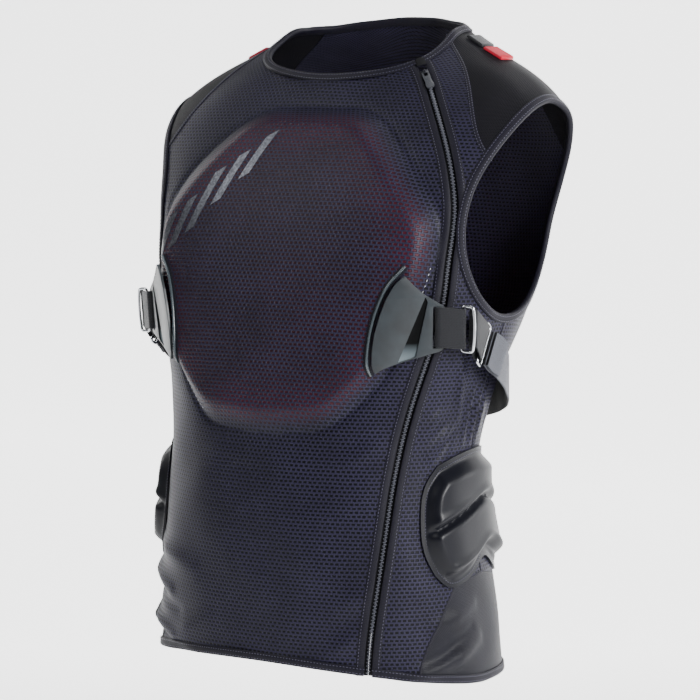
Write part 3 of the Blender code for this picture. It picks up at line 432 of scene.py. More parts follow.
def arm_point(a):
    """Point of the armhole's edge, 0 at the back and 90 at the top."""
    a = np.radians(np.asarray(a, float))
    z = -0.163 + 0.100 * np.sin(a)
    y = -0.020 + 0.081 * np.cos(a) + 0.024 * np.sin(a)
    lo = np.full_like(y, 1e-3)
    hi = np.full_like(y, RAD * math.pi - 1e-3)
    for _ in range(44):
        mid = (lo + hi) / 2
        low = base(mid, z)[..., 1] < y
        lo = np.where(low, mid, lo)
        hi = np.where(low, hi, mid)
    return np.stack([(lo + hi) / 2, z], -1)


def length_to(points, axis=0):
    """How far along a line of points each of them lies."""
    steps = np.linalg.norm(np.diff(points, axis=axis), axis=-1)
    return np.concatenate([np.zeros_like(steps.take([0], axis)), np.cumsum(steps, axis=axis)], axis)


def walk(points, step=3 * mm):
    """The same line in even steps of true length."""
    p = np.array(points, float)
    run = length_to(base(p[:, 0], p[:, 1]))
    w = np.linspace(0, run[-1], max(3, int(round(run[-1] / step)) + 1))
    return np.stack([np.interp(w, run, p[:, 0]), np.interp(w, run, p[:, 1])], -1)


def smooth(points, n=90):
    p = np.array(points, float)
    v = length_to(p)
    w = np.linspace(0, v[-1], n + 1)
    return walk(np.stack([spline(v, p[:, 0])(w), spline(v, p[:, 1])(w)], -1))


def row(low, high, height):
    s = RAD * np.radians(np.linspace(low, high, 200))
    return walk(np.stack([s, height(s)], -1))


def chain(*parts):
    return np.concatenate([parts[0]] + [p[1:] for p in parts[1:]])


def mirror(p):
    return p * np.array([-1.0, 1.0])


def end_point(degrees, height):
    s = RAD * math.radians(degrees)
    return np.array([s, float(height(s))])


GUSSET_FRONT = deg((74, -0.5185), (66, -0.546), (58, -0.580))
GUSSET_BACK = deg((114, -0.5185), (122, -0.546), (130, -0.580))
turned = [(180 - t, z) for t, z in YOKE]
YOKE_FRONT = smooth(np.concatenate([arm_point([FRONT_JOIN]), deg(*YOKE), [end_point(66, neck_z)]]))
YOKE_BACK = smooth(np.concatenate([arm_point([BACK_JOIN]), deg(*turned), [end_point(114, neck_z)]]))
SEAM_SIDE = smooth(np.concatenate([arm_point([270.0]), deg((89, -0.30), (91, -0.36), (93, -0.43),
                                                           (94, -0.511))])[::-1])
ARM_FRONT = walk(arm_point(np.linspace(270, FRONT_JOIN, 120)))
ARM_TOP = walk(arm_point(np.linspace(FRONT_JOIN, BACK_JOIN, 120)))
ARM_BACK = walk(arm_point(np.linspace(-90, BACK_JOIN, 120)))
LEG_FRONT = smooth(np.concatenate([[end_point(53.4, hem_z)], GUSSET_FRONT[::-1]]))
LEG_BACK = smooth(np.concatenate([[end_point(136, hem_z)], GUSSET_BACK[::-1]]))
RIDGE_FRONT = walk([GUSSET_FRONT[0], SEAM_SIDE[0]])
RIDGE_BACK = walk([GUSSET_BACK[0], SEAM_SIDE[0]])
print("armhole points", len(ARM_FRONT) + len(ARM_TOP) + len(ARM_BACK))


# %% Steps across and along the cloth
def move(points, step):
    """Shifts points of the cloth by a short true vector."""
    ps, pz = slopes(points[:, 0], points[:, 1])
    aa = (ps * ps).sum(-1)
    bb = (pz * pz).sum(-1)
    ab = (ps * pz).sum(-1)
    u = (step * ps).sum(-1)
    v = (step * pz).sum(-1)
    det = aa * bb - ab * ab
    return points + np.stack([(u * bb - v * ab) / det, (v * aa - u * ab) / det], -1)


def beside(path, d, closed=False):
    """The path shifted sideways, to its right hand as it is walked."""
    nxt = np.roll(path, -1, axis=0) if closed else np.concatenate([path[1:], path[-1:]])
    prv = np.roll(path, 1, axis=0) if closed else np.concatenate([path[:1], path[:-1]])
    tangent = base(nxt[:, 0], nxt[:, 1]) - base(prv[:, 0], prv[:, 1])
    aside = np.cross(tangent, outward(path[:, 0], path[:, 1]))
    aside /= np.linalg.norm(aside, axis=1, keepdims=True)
    return move(path, aside * d)


ZIP_HALF = 4 * mm
zip_z = np.linspace(float(hem_z(RAD * math.radians(37.3))), float(neck_z(RAD * math.radians(35))), 240)
ZIP_PATH = walk(np.stack([zip_s(zip_z), zip_z], -1))


def zip_edge(d):
    """One edge of the zip's opening, ending on the hem and the neck."""
    p = beside(ZIP_PATH, d)
    p[0, 1] = float(hem_z(p[0, 0]))
    p[-1, 1] = float(neck_z(p[-1, 0]))
    return p


ZIP_LEFT = zip_edge(ZIP_HALF)
ZIP_RIGHT = zip_edge(-ZIP_HALF)
TO_DEG = 180 / (math.pi * RAD)
SIDE_FRONT = ((LEG_FRONT, SEAM), (RIDGE_FRONT, SEAM), (SEAM_SIDE, SEAM), (ARM_FRONT, EDGE),
              (YOKE_FRONT, SEAM))
SIDE_BACK = ((LEG_BACK, SEAM), (RIDGE_BACK, SEAM), (SEAM_SIDE, SEAM), (ARM_BACK, EDGE),
             (YOKE_BACK, SEAM))
print("zip points", len(ZIP_PATH))

# %% [markdown]
# ## Sewing a flat panel onto the body
# A panel starts as its outline and a staggered net of points inside it, a few millimetres apart, as
# the loops of a knit are. The net is joined into triangles, lifted to the cloth's height, and closed
# with a second sheet underneath. Its UV map is in metres round and up the body, so that the knit's
# holes keep their real size everywhere.


# %% Panels
def closed_loop(sides):
    """Joins the sides and moves each in by its own gap."""
    loop = np.concatenate([p[:-1] for p, _ in sides])
    gaps = np.concatenate([[gap] * (len(p) - 1) for p, gap in sides])
    q = base(loop[:, 0], loop[:, 1])
    n = outward(loop[:, 0], loop[:, 1])
    t1 = q - np.roll(q, 1, axis=0)
    t2 = np.roll(q, -1, axis=0) - q
    n1 = np.cross(n, t1 / np.linalg.norm(t1, axis=1, keepdims=True))
    n2 = np.cross(n, t2 / np.linalg.norm(t2, axis=1, keepdims=True))
    m = n1 + n2
    m /= np.maximum((m ** 2).sum(-1, keepdims=True) / 2, 0.35)
    return move(loop, m * np.maximum(gaps, np.roll(gaps, 1))[:, None])


def net(points, loops):
    """Triangles between the points, inside the first loop."""
    edges = [(loop[k], loop[(k + 1) % len(loop)]) for loop in loops for k in range(len(loop))]
    got = delaunay_2d_cdt([Vector(p) for p in points], edges, [], 0, 1e-7)
    back = np.array([ids[0] for ids in got[3]])
    tri = back[np.array([list(f) for f in got[2]])]
    mid = points[tri].mean(1)
    tri = np.concatenate([part[within(mid[k:k + 4000], points[loops[0]])]
                          for k, part in [(k, tri[k:k + 4000]) for k in range(0, len(tri), 4000)]])
    a, b, c = points[tri[:, 0]], points[tri[:, 1]], points[tri[:, 2]]
    turn = (b[:, 0] - a[:, 0]) * (c[:, 1] - a[:, 1]) - (b[:, 1] - a[:, 1]) * (c[:, 0] - a[:, 0])
    tri[turn < 0] = tri[turn < 0][:, ::-1]
    return tri


ROUND = RAD * np.radians(np.linspace(-200, 400, 601))
UPWARD = np.linspace(-0.66, 0.06, 145)
FIELD = base(ROUND[:, None], UPWARD[None])
RUN_S = length_to(FIELD)
RUN_S -= RUN_S[np.abs(ROUND).argmin()]
RUN_Z = length_to(FIELD, 1)


def metres(points):
    """Where each point lies on the flat cloth, round and up, in metres."""
    i = np.clip((points[:, 0] - ROUND[0]) / (ROUND[1] - ROUND[0]), 0, len(ROUND) - 1.01)
    j = np.clip((points[:, 1] - UPWARD[0]) / (UPWARD[1] - UPWARD[0]), 0, len(UPWARD) - 1.01)
    i0 = i.astype(int)
    j0 = j.astype(int)
    fi = i - i0
    fj = j - j0
    out = [t[i0, j0] * (1 - fi) * (1 - fj) + t[i0 + 1, j0] * fi * (1 - fj) + t[i0, j0 + 1] * (1 - fi) * fj
           + t[i0 + 1, j0 + 1] * fi * fj for t in (RUN_S, RUN_Z)]
    return np.stack(out, -1)


def piece(name, verts, faces, material, slot, uv=None, corner_uv=None, tint=None, body="vest",
          stands_for=()):
    """A closed mesh with its finish, its place on a body and the node it stands for."""
    verts = np.asarray(verts, float)
    faces = [tuple(int(k) for k in f) for f in faces]
    mesh = bpy.data.meshes.new(name)
    mesh.from_pydata(verts.tolist(), [], faces)
    mesh.update()
    order = np.empty(len(mesh.loops), int)
    mesh.loops.foreach_get("vertex_index", order)
    if uv is not None:
        corner_uv = np.asarray(uv)[order]
    if corner_uv is not None:
        layer = mesh.uv_layers.new(name="UVMap")
        layer.data.foreach_set("uv", np.asarray(corner_uv, float).ravel())
    if tint is not None:
        mesh.attributes.new("tint", "FLOAT", "POINT").data.foreach_set("value", np.asarray(tint, float))
    volume = 0.0
    for f in faces:
        a = verts[f[0]]
        for k in range(1, len(f) - 1):
            volume += float(np.dot(a, np.cross(verts[f[k]], verts[f[k + 1]])))
    if volume < 0:
        mesh.flip_normals()
    return dress(put(name, mesh), material, body, stands_for)


def dress(thing, material, body="vest", stands_for=(), angle=42):
    """Gives a finished object its smooth shading, material and body."""
    alone(thing)
    bpy.ops.object.shade_smooth_by_angle(angle=math.radians(angle))
    thing.data.materials.clear()
    thing.data.materials.append(material)
    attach(thing, body)
    if stands_for:
        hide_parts(*([stands_for] if isinstance(stands_for, str) else stands_for))
    return thing


def close(tri, n):
    """Faces of a sheet, of its copy underneath, and of the wall round the edge."""
    edges = {(f[k], f[(k + 1) % 3]) for f in tri.tolist() for k in range(3)}
    faces = tri.tolist() + (tri[:, ::-1] + n).tolist()
    faces += [(b, a, a + n, b + n) for a, b in sorted(edges) if (b, a) not in edges]
    return faces


def panel(name, sides, material, slot, step=4 * mm, low=0.0, thick=CLOTH, flip=False, foot=None, **more):
    """One piece of cloth inside these sides. Gives the object and its area."""
    rim = closed_loop(sides)
    rows = int((rim[:, 1].max() - rim[:, 1].min()) / (step * 0.87)) + 1
    count = int((rim[:, 0].max() - rim[:, 0].min()) / step) + 2
    j, i = np.meshgrid(np.arange(rows), np.arange(count), indexing="ij")
    inner = np.stack([rim[:, 0].min() + (i + (j % 2) / 2) * step, rim[:, 1].min() + j * step * 0.87], -1)
    inner = inner.reshape(-1, 2)
    inner = inner[inside_by(inner[:, 0], inner[:, 1], rim) > step * 0.55]
    points = np.concatenate([rim, inner])
    tri = net(points, [list(range(len(rim)))])
    uv = metres(points)
    if flip:
        points = mirror(points)
        tri = tri[:, ::-1]
        uv = uv * (-1, 1)
    s, z = points.T
    f = relief(s, z)
    deep = inside_by(s, z, GUARD_LOOP)
    deep = np.clip(deep / 0.010, 0, 1) * (0.3 + 0.7 * np.exp(-((deep - 0.018) / 0.022) ** 2))
    top = lift(s, z, f + low + thick)
    under = lift(s, z, f + low if foot is None else foot + 0 * f)
    thing = piece(name, np.concatenate([top, under]), close(tri, len(points)), material, slot,
                  uv=np.concatenate([uv, uv]), tint=np.concatenate([deep, deep * 0]), **more)
    a, b, c = top[tri[:, 0]], top[tri[:, 1]], top[tri[:, 2]]
    area = float(np.linalg.norm(np.cross(b - a, c - a), axis=1).sum() / 2)
    print(name, len(tri), "triangles a side,", round(area, 4), "square metres")
    return thing, area


# %% [markdown]
# ## Knits and tapes
# The body of the vest is a polyester spacer mesh: staggered rows of long holes between raised
# threads. A brick pattern with soft joints gives just that, the bricks being the holes. The holes are
# darker and let the guard's red foam tint through. The yokes and gussets are a finer and smoother
# knit, and the edges are bound with ribbed stretch tape.


# %% Cloth materials
def knit(name, thread, hole, deep, pitch, rows, web, high, red=None, rough=0.8, gloss=0.2):
    """Staggered holes between threads, all sizes in millimetres."""
    material, tree, shader = finish(name, roughness=rough, specular_ior_level=gloss)
    place = add(tree, "UVMap", uv_map="UVMap").outputs[0]
    wobble = noise(tree, place, 160.0, 1.0)
    shift = add(tree, "VectorMath", {0: wobble.outputs["Color"], 1: (0.5, 0.5, 0.5)}, operation="SUBTRACT")
    small = add(tree, "VectorMath", {0: shift.outputs[0], "Scale": pitch * mm * 0.16}, operation="SCALE")
    place2 = add(tree, "VectorMath", {0: place, 1: small.outputs[0]}, operation="ADD").outputs[0]
    holes = add(tree, "TexBrick", {
        "Vector": place2, "Color1": hex_colour(hole), "Color2": hex_colour(deep),
        "Mortar": hex_colour(thread), "Scale": 1.0,
        "Mortar Size": web * mm, "Mortar Smooth": 0.55, "Bias": 0.0,
        "Brick Width": pitch * mm, "Row Height": rows * mm}, offset=0.5)
    colour = holes.outputs["Color"]
    if red:
        tint = add(tree, "Attribute", attribute_name="tint").outputs["Fac"]
        patchy = noise(tree, place, 7.0, 1.0).outputs["Fac"]
        both = calc(tree, "MULTIPLY", tint, spread(tree, patchy, 0.3, 0.8, 0.35))
        share = calc(tree, "MULTIPLY", both, calc(tree, "SUBTRACT", 1.0, holes.outputs["Fac"]))
        colour = add(tree, "Mix", {"Factor": share, 6: colour, 7: hex_colour(red)},
                     data_type="RGBA").outputs[2]
    wide = noise(tree, place, 22.0, 3.0).outputs["Fac"]
    shaded(tree, shader, colour, spread(tree, wide, 0.3, 0.7, 0.82, 1.18))
    bumped(tree, shader, holes.outputs["Fac"], high, 0.9)
    return material


MESH = knit("polyester_spacer_mesh", "#242236", "#020205", "#06060c", 4.9, 3.8, 1.15, 1.0, red="#4e0f23",
            rough=0.48, gloss=0.2)
FINE = knit("fine_warp_knit", "#0e0d15", "#050409", "#030305", 2.4, 1.6, 0.5, 0.4, rough=0.6, gloss=0.16)
SIDE = knit("smooth_stretch_knit", "#12121d", "#0a0a12", "#07070d", 1.8, 1.3, 0.42, 0.25, rough=0.5,
            gloss=0.25)


def woven(name, colour, dark, along, across, high, rough=0.75, sheen=0.2, inner=None,
          fleck=(0.75, 1.3)):
    """Tape or webbing: ribs across it, crossed by finer ones along it, in millimetres.

    inner is the brightness of the side that lies against the body, a painted shade for that side's shadow."""
    material, tree, shader = finish(name, roughness=rough, sheen_weight=sheen, sheen_roughness=0.45,
                                    specular_ior_level=0.25)
    place = add(tree, "UVMap", uv_map="UVMap").outputs[0]
    ribs = add(tree, "TexBrick", {
        "Vector": place, "Color1": hex_colour(colour), "Color2": hex_colour(colour),
        "Mortar": hex_colour(dark), "Scale": 1.0,
        "Mortar Size": min(along, across) * 0.16 * mm, "Mortar Smooth": 0.9,
        "Brick Width": along * mm, "Row Height": across * mm}, offset=0.5)
    shade = spread(tree, noise(tree, place, 900.0).outputs["Fac"], 0.3, 0.7, *fleck)
    # Painted shade: the side against the body is drawn darker, as if in its shadow.
    if inner is not None:
        side = add(tree, "Attribute", attribute_name="tint").outputs["Fac"]
        shade = calc(tree, "MULTIPLY", shade, spread(tree, side, 0.0, 1.0, inner))
    shaded(tree, shader, ribs.outputs["Color"], shade)
    bumped(tree, shader, calc(tree, "SUBTRACT", 1.0, ribs.outputs["Fac"]), high, 0.8)
    return material


TAPE = woven("ribbed_stretch_tape", "#0f0d1b", "#040409", 1.6, 20.0, 0.35, rough=0.55, sheen=0.0)
WEB = woven("polyester_webbing", "#1d1e23", "#040405", 3.0, 1.6, 0.45, rough=0.5, sheen=0.1)
# Painted light and shade: the strap is given a paler grey than the other webbing, for the light from the
# right that falls on it, and its side against the body is drawn near black, for its shadow. Its coarse
# flecks are the webbing's own.
STRAP_WEB = woven("grey_flecked_webbing", "#54565f", "#0c0c10", 2.0, 1.2, 0.5, rough=0.55, sheen=0.1,
                  inner=0.03, fleck=(0.35, 1.9))
ZIP_CLOTH = woven("woven_zip_tape", "#0e0e14", "#050508", 1.2, 0.8, 0.2, sheen=0.1)
print("cloth finishes", len(bpy.data.materials))

# %% [markdown]
# ## Cutting the panels
# The main front, the small front beside the zip, the back, the yokes and the side gussets are cut
# from their shared lines. They stretch over the torso, and each one's area is worked out and printed.
# The panels stand a little finer than the knit, to take the folds.

# %% Front, back, yokes and gussets
hem_main = row(-53.4, ZIP_RIGHT[0, 0] * TO_DEG, hem_z)
neck_front = row(-66, ZIP_RIGHT[-1, 0] * TO_DEG, neck_z)
hem_left = row(ZIP_LEFT[0, 0] * TO_DEG, 53.4, hem_z)
neck_left = row(ZIP_LEFT[-1, 0] * TO_DEG, 66, neck_z)
neck_yoke = row(66, 114, neck_z)
neck_back = row(114, 246, neck_z)
hem_gusset = row(53.4, 136, hem_z)
hem_rear = row(136, 224, hem_z)


def down(sides, change=lambda p: p):
    """The same sides walked from top to bottom."""
    return [(change(p)[::-1], gap) for p, gap in reversed(sides)]


def round_back(p):
    """The mirrored line, reached by walking on round the back."""
    return mirror(p) + (TURN, 0)


panel("front_cloth", [(ZIP_RIGHT, ZIP_GAP), (neck_front[::-1], EDGE)] + down(SIDE_FRONT, mirror)
           + [(hem_main, EDGE)], MESH, "mesh_cloth", stands_for="front_panel")
panel("left_front_cloth", [(hem_left, EDGE)] + list(SIDE_FRONT)
           + [(neck_left[::-1], EDGE), (ZIP_LEFT[::-1], ZIP_GAP)], MESH, "mesh_cloth",
           stands_for="left_front_panel")
panel("back_cloth", [(hem_rear, EDGE)] + [(round_back(p), gap) for p, gap in SIDE_BACK]
           + [(neck_back[::-1], EDGE)] + down(SIDE_BACK), MESH, "mesh_cloth", step=5 * mm,
           stands_for="back_panel")
for tag, flip in (("left", False), ("right", True)):
    panel("yoke_cloth_" + tag, [(ARM_TOP, EDGE), (YOKE_BACK, SEAM), (neck_yoke[::-1], EDGE),
                                     (YOKE_FRONT[::-1], SEAM)], FINE, "yoke_cloth", flip=flip,
               stands_for="yoke_" + tag)
    panel("gusset_cloth_" + tag, [(hem_gusset, EDGE), (LEG_BACK, SEAM), (RIDGE_BACK, SEAM),
                                       (RIDGE_FRONT[::-1], SEAM), (LEG_FRONT[::-1], SEAM)], SIDE,
               "side_knit", flip=flip, stands_for="side_gusset_" + tag)

# %% [markdown]
# ## The foam chest guard
# A moulded foam sheet lies under the front mesh. It is made as its own padded piece, so the cloth
# has a real body under it, with the same outline as the step in the mesh. The closed cells of the
# foam show as fine grain.

# %% Chest guard
FOAM, tree, shader = finish("moulded_foam", roughness=0.75)
cells = add(tree, "TexVoronoi", {"Vector": add(tree, "TexCoord").outputs["Object"], "Scale": 900.0})
ramp(tree, shader, cells.outputs["Distance"], "#7c0f24", "#a3182f")
bumped(tree, shader, cells.outputs["Distance"], 0.2)
guard_rim = walk(np.concatenate([GUARD_LOOP, GUARD_LOOP[:1]]), 5 * mm)[::-1]
guard, _ = panel("foam_guard", [(guard_rim, EDGE)], FOAM, "guard_foam", step=6 * mm, low=-1.2 * mm,
                 thick=0.6 * mm, foot=0.0, stands_for="chest_guard")


# %% [markdown]
# ## Bound edges
# Stretch tape is folded over each raw edge and held by a coverstitch. A tube that follows the edge
# with a rounded U for its section gives the fold and the soft outer lip. The tape's ribs come from
# its material, and the thread is real: small spindles of thread, one to a stitch.

# %% Tubes along a path
def skin(name, rings, material, slot, closed=False, **more):
    """Skins rings of points, with a UV map along and round the tube."""
    rings = np.asarray(rings)
    m, k = rings.shape[:2]
    mid = rings.mean(1)
    along = length_to(np.concatenate([mid, mid[:1]]))
    round_ = length_to(np.concatenate([rings[0], rings[0][:1]]))
    faces = []
    uv = []
    for j in range(m if closed else m - 1):
        a = j * k
        b = ((j + 1) % m) * k
        for i in range(k):
            i2 = (i + 1) % k
            faces.append((a + i, a + i2, b + i2, b + i))
            uv += [(along[j], round_[i]), (along[j], round_[i + 1]), (along[j + 1], round_[i + 1]),
                   (along[j + 1], round_[i])]
    if not closed:
        faces += [tuple(reversed(range(k))), tuple(range((m - 1) * k, m * k))]
        uv += [(0.0, 0.0)] * (2 * k)
    return piece(name, rings.reshape(-1, 3), faces, material, slot, corner_uv=uv, **more)


def on_cloth(path, off):
    """Points of the path this far over the torso, folds and guard included."""
    return lift(path[:, 0], path[:, 1], relief(path[:, 0], path[:, 1]) + off)


def tape_rings(path, section, closed=False):
    """Rings of (side distance, height over the torso) along a path."""
    return np.stack([on_cloth(beside(path, d, closed), off) for d, off in section], 1)


def ribbon(name, path, width, material, slot, off=CLOTH, thick=0.7 * mm, side=0.0, closed=False, **more):
    """A flat tape lying on the cloth, with softened edges."""
    h = width / 2
    section = ((side - h, off - 0.2 * mm), (side - h, off + thick * 0.5), (side - h + thick, off + thick),
               (side, off + thick * 1.15), (side + h - thick, off + thick), (side + h, off + thick * 0.5),
               (side + h, off - 0.2 * mm))
    return skin(name, tape_rings(path, section, closed), material, slot, closed, **more)


def frames(path, off):
    """Points over the cloth, with the ways out, along and across at each."""
    q = on_cloth(path, off)
    n = outward(path[:, 0], path[:, 1])
    t = np.gradient(q, axis=0)
    t /= np.linalg.norm(t, axis=1, keepdims=True)
    return q, n, t, np.cross(t, n)


THREAD = finish("polyester_thread", "#45435c", roughness=0.5, sheen_weight=0.3)[0]
PALE = finish("white_thread", "#d9dbe4", roughness=0.5, sheen_weight=0.3)[0]


def stitches(name, rows, material, pitch=3.2 * mm, long=2.3 * mm, thick=0.34 * mm, slot="edge_tape"):
    """Rows of thread. Each row is a cloth path, a side distance and a height."""
    verts = []
    faces = []
    for path, side, off in rows:
        q, n, t, w = frames(walk(beside(path, side), pitch), off)
        for a, b, c, d in zip(q, t, n, w):
            k = len(verts)
            verts += [a - b * long / 2, a + b * long / 2, a + d * thick, a - d * thick, a + c * thick,
                      a - c * thick]
            for x, y in ((2, 4), (4, 3), (3, 5), (5, 2)):
                faces += [(k, k + y, k + x), (k + 1, k + x, k + y)]
    return piece(name, verts, faces, material, slot)


# %% Bindings and their stitches
def binding(name, edge, side, closed, wide=8.5 * mm):
    """A U of tape over an edge. side is 1 or -1 for the cloth's side of it."""
    g = 1.1 * mm
    t = 0.8 * mm
    top = CLOTH + g + t
    bow = [(1.4 * mm - 1.7 * mm * math.sin(a), CLOTH / 2 + (top - CLOTH / 2) * math.cos(a))
           for a in np.linspace(0, math.pi, 9)]
    section = ([(wide, CLOTH + 0.2 * mm), (wide, top - 0.9 * mm), (wide - 0.8 * mm, top - 0.2 * mm),
                (wide * 0.5, top + 0.15 * mm)] + bow
               + [(wide * 0.5, -g - t), (wide - 0.8 * mm, -g - t * 0.8), (wide, -g), (wide, -0.2 * mm),
                  (1.2 * mm, -0.2 * mm), (1.2 * mm, CLOTH + 0.2 * mm)])
    return skin(name + "_tape", tape_rings(edge, [(side * d, off) for d, off in section], closed), TAPE,
                "edge_tape", closed, stands_for=name)


def around(first, gusset, rear, last):
    """An edge from one side of the zip round the body to the other."""
    return walk(chain(first, gusset, rear, round_back(gusset)[::-1], last + (TURN, 0)))


hem = around(hem_left, hem_gusset, hem_rear, hem_main)
neck = around(neck_left, neck_yoke, neck_back, neck_front)
arm = walk(chain(ARM_FRONT, ARM_TOP, ARM_BACK[::-1]))[:-1]
binding("hem_binding", hem, -1, False)
binding("neck_binding", neck, 1, False)
binding("armhole_binding_left", arm, -1, True)
binding("armhole_binding_right", mirror(arm)[::-1], -1, True)
TOP = CLOTH + 2.1 * mm
rows = [(hem, -2.2 * mm, TOP), (hem, -6.8 * mm, TOP), (neck, 2.2 * mm, TOP), (neck, 6.8 * mm, TOP)]
for loop in (arm, mirror(arm)[::-1]):
    rows += [(loop, -2.2 * mm, TOP), (loop, -6.8 * mm, TOP)]
stitches("coverstitch", rows, THREAD)
print("bound edges", 4)

# %% [markdown]
# ## Seams
# Two narrow tapes run down each yoke seam, and a flat seam joins the side and the gusset. Each is a
# thin ribbon on the cloth, and the yoke and side seams have thread along them.

# %% Seam tapes
LINE_SIDES = (("left", lambda p: p), ("right", mirror))
# Each seam's line, then its tape's width and thickness in millimetres.
SEAMS = (("yoke_seam_", YOKE_FRONT, 4.2, 0.6), ("yoke_rear_seam_", YOKE_BACK, 4.2, 0.6),
         ("side_seam_", SEAM_SIDE, 3.2, 0.5), ("gusset_seam_", chain(LEG_FRONT, RIDGE_FRONT), 2.6, 0.5))
seam_rows = []
for tag, change in LINE_SIDES:
    for name, line, width, thick in SEAMS:
        ribbon(name + tag, change(line), width * mm, TAPE, "edge_tape", thick=thick * mm)
    for line in (YOKE_FRONT, YOKE_BACK):
        seam_rows += [(change(line), side * mm, CLOTH + 0.7 * mm) for side in (-1.3, 1.3)]
    seam_rows += [(change(SEAM_SIDE), 0.0, CLOTH + 0.6 * mm)]
stitches("seam_thread", seam_rows, THREAD)
dashes = walk(np.concatenate([GUARD_LOOP, GUARD_LOOP[:1]]), 3 * mm)
right_part = dashes[(dashes[:, 0] > 0.11) & (dashes[:, 1] < -0.215) & (dashes[:, 1] > -0.30)]
low_part = dashes[(dashes[:, 0] < -0.085) & (dashes[:, 1] < -0.325)]
stitches("guard_tack", [(right_part, 0.0, CLOTH + 0.15 * mm), (low_part, 0.0, CLOTH + 0.15 * mm)], PALE,
         pitch=5.5 * mm, long=2.6 * mm, thick=0.4 * mm)
print("seam rows", len(seam_rows))

# %% [markdown]
# ## The zip
# A coil zip is a bent nylon thread on two woven tapes. The flaps of cloth beside it are stitched
# down. One tooth is modelled as a rounded bar, then repeated along the curve into one mesh. The
# slider is built from bevelled blocks and the pull is a moulded tab that turns on the slider's lug.

# %% Flaps, tapes and teeth
ribbon("zip_flap_right", ZIP_RIGHT, 7.6 * mm, TAPE, "edge_tape", side=-3.6 * mm, thick=0.8 * mm)
ribbon("zip_flap_left", ZIP_LEFT, 7.6 * mm, TAPE, "edge_tape", side=3.6 * mm, thick=0.8 * mm)
stitches("flap_thread", [(ZIP_RIGHT, -5.8 * mm, CLOTH + 0.9 * mm), (ZIP_LEFT, 5.8 * mm, CLOTH + 0.9 * mm)],
         THREAD)
run = ZIP_PATH[ZIP_PATH[:, 1] < -0.034]
for tag, side in (("right", -1), ("left", 1)):
    ribbon("zip_tape_cloth_" + tag, run, 6.4 * mm, ZIP_CLOTH, "zip_cloth", side=side * 3.35 * mm,
           off=-2.6 * mm, thick=0.7 * mm, stands_for="zip_tape_" + tag)
COIL = finish("nylon_coil", "#4f515b", roughness=0.35, specular_ior_level=0.6)[0]


def block(low, high, soft=0.5, segments=3):
    """A bevelled block between two corners, in millimetres."""
    low = Vector(low)
    high = Vector(high)
    bpy.ops.object.select_all(action="DESELECT")
    bpy.ops.mesh.primitive_cube_add(size=1, location=(low + high) / 2 * mm)
    thing = bpy.context.object
    thing.scale = (high - low) * mm
    bpy.ops.object.transform_apply(location=True, scale=True)
    bpy.ops.object.mode_set(mode="EDIT")
    bpy.ops.mesh.select_all(action="SELECT")
    bpy.ops.mesh.bevel(offset=soft * mm, segments=segments, affect="EDGES")
    bpy.ops.object.mode_set(mode="OBJECT")
    return thing


tooth = block((-1.5, -0.5, -0.8), (1.5, 0.5, 0.8), 0.3, 1)
shape = np.array([v.co[:] for v in tooth.data.vertices])
sides = [list(f.vertices) for f in tooth.data.polygons]
bpy.data.objects.remove(tooth, do_unlink=True)
TOOTH_PITCH = 1.7 * mm
coil_path = walk(ZIP_PATH[(ZIP_PATH[:, 1] > -0.600) & (ZIP_PATH[:, 1] < -0.040)], TOOTH_PITCH)
q, n, t, w = frames(coil_path, 0.0)
verts = []
faces = []
for k in range(len(q)):
    lean = 0.5 * mm if k % 2 else -0.5 * mm
    faces += [[i + len(verts) for i in f] for f in sides]
    verts += [q[k] + w[k] * (a + lean) + t[k] * b + n[k] * (c + 0.3 * mm) for a, b, c in shape]
piece("coil_teeth", verts, faces, COIL, "zip_nylon", stands_for="zip_coil")
print("teeth", len(q))

# %% Slider, pull and garage
SLIDER_Z = -0.0365
zs = float(zip_s(SLIDER_Z))
up = base(zip_s(SLIDER_Z + 0.004), SLIDER_Z + 0.004) - base(zip_s(SLIDER_Z - 0.004), SLIDER_Z - 0.004)


def frame_at(s, z):
    """A matrix with across, up the zip and outward as its axes."""
    o = Vector(base(np.array([s]), np.array([z]))[0])
    n = Vector(outward(np.array([s]), np.array([z]))[0])
    v = Vector(up)
    v = (v - n * v.dot(n)).normalized()
    m = Matrix((v.cross(n), v, n)).transposed().to_4x4()
    return Matrix.Translation(o) @ m


ZF = frame_at(zs, SLIDER_Z)


def join(things, name, place):
    """Joins objects into one and lays it in its place."""
    bpy.ops.object.select_all(action="DESELECT")
    for thing in things:
        thing.select_set(True)
    bpy.context.view_layer.objects.active = things[0]
    if len(things) > 1:
        bpy.ops.object.join()
    thing = bpy.context.object
    thing.name = name
    thing.data.transform(place)
    return thing


BLACK = grained("black_coated_zinc", 900.0, "#2a2b30", "#55565e", roughness=0.32, metallic=1.0)[0]
# Upper plate, lower plate, the post between them, then the lug's two legs and its bridge.
SLIDER = (((-3.7, -5.5, 2.0), (3.7, 4.6, 3.2), 0.55), ((-3.6, -5.5, -4.4), (3.6, 4.5, -3.5), 0.3),
          ((-1.3, 2.2, -3.8), (1.3, 4.4, 2.4), 0.4), ((-1.1, -3.4, 2.9), (1.1, -2.3, 6.6), 0.3),
          ((-1.1, 0.9, 2.9), (1.1, 2.0, 6.6), 0.3), ((-1.1, -3.4, 5.95), (1.1, 2.0, 6.85), 0.4))
slider = join([block(*row) for row in SLIDER], "slider_body", ZF)
dress(slider, BLACK, stands_for="zip_slider")


def poly(curve, points):
    """Adds a closed line of straight steps to a curve."""
    line = curve.splines.new("POLY")
    line.points.add(len(points) - 1)
    for spot, p in zip(line.points, points):
        spot.co = (*p, 1)
    line.use_cyclic_u = True


def as_mesh(name, curve):
    """An object with the curve's surface as its mesh."""
    alone(put(name, curve))
    bpy.ops.object.convert(target="MESH")
    return bpy.context.object


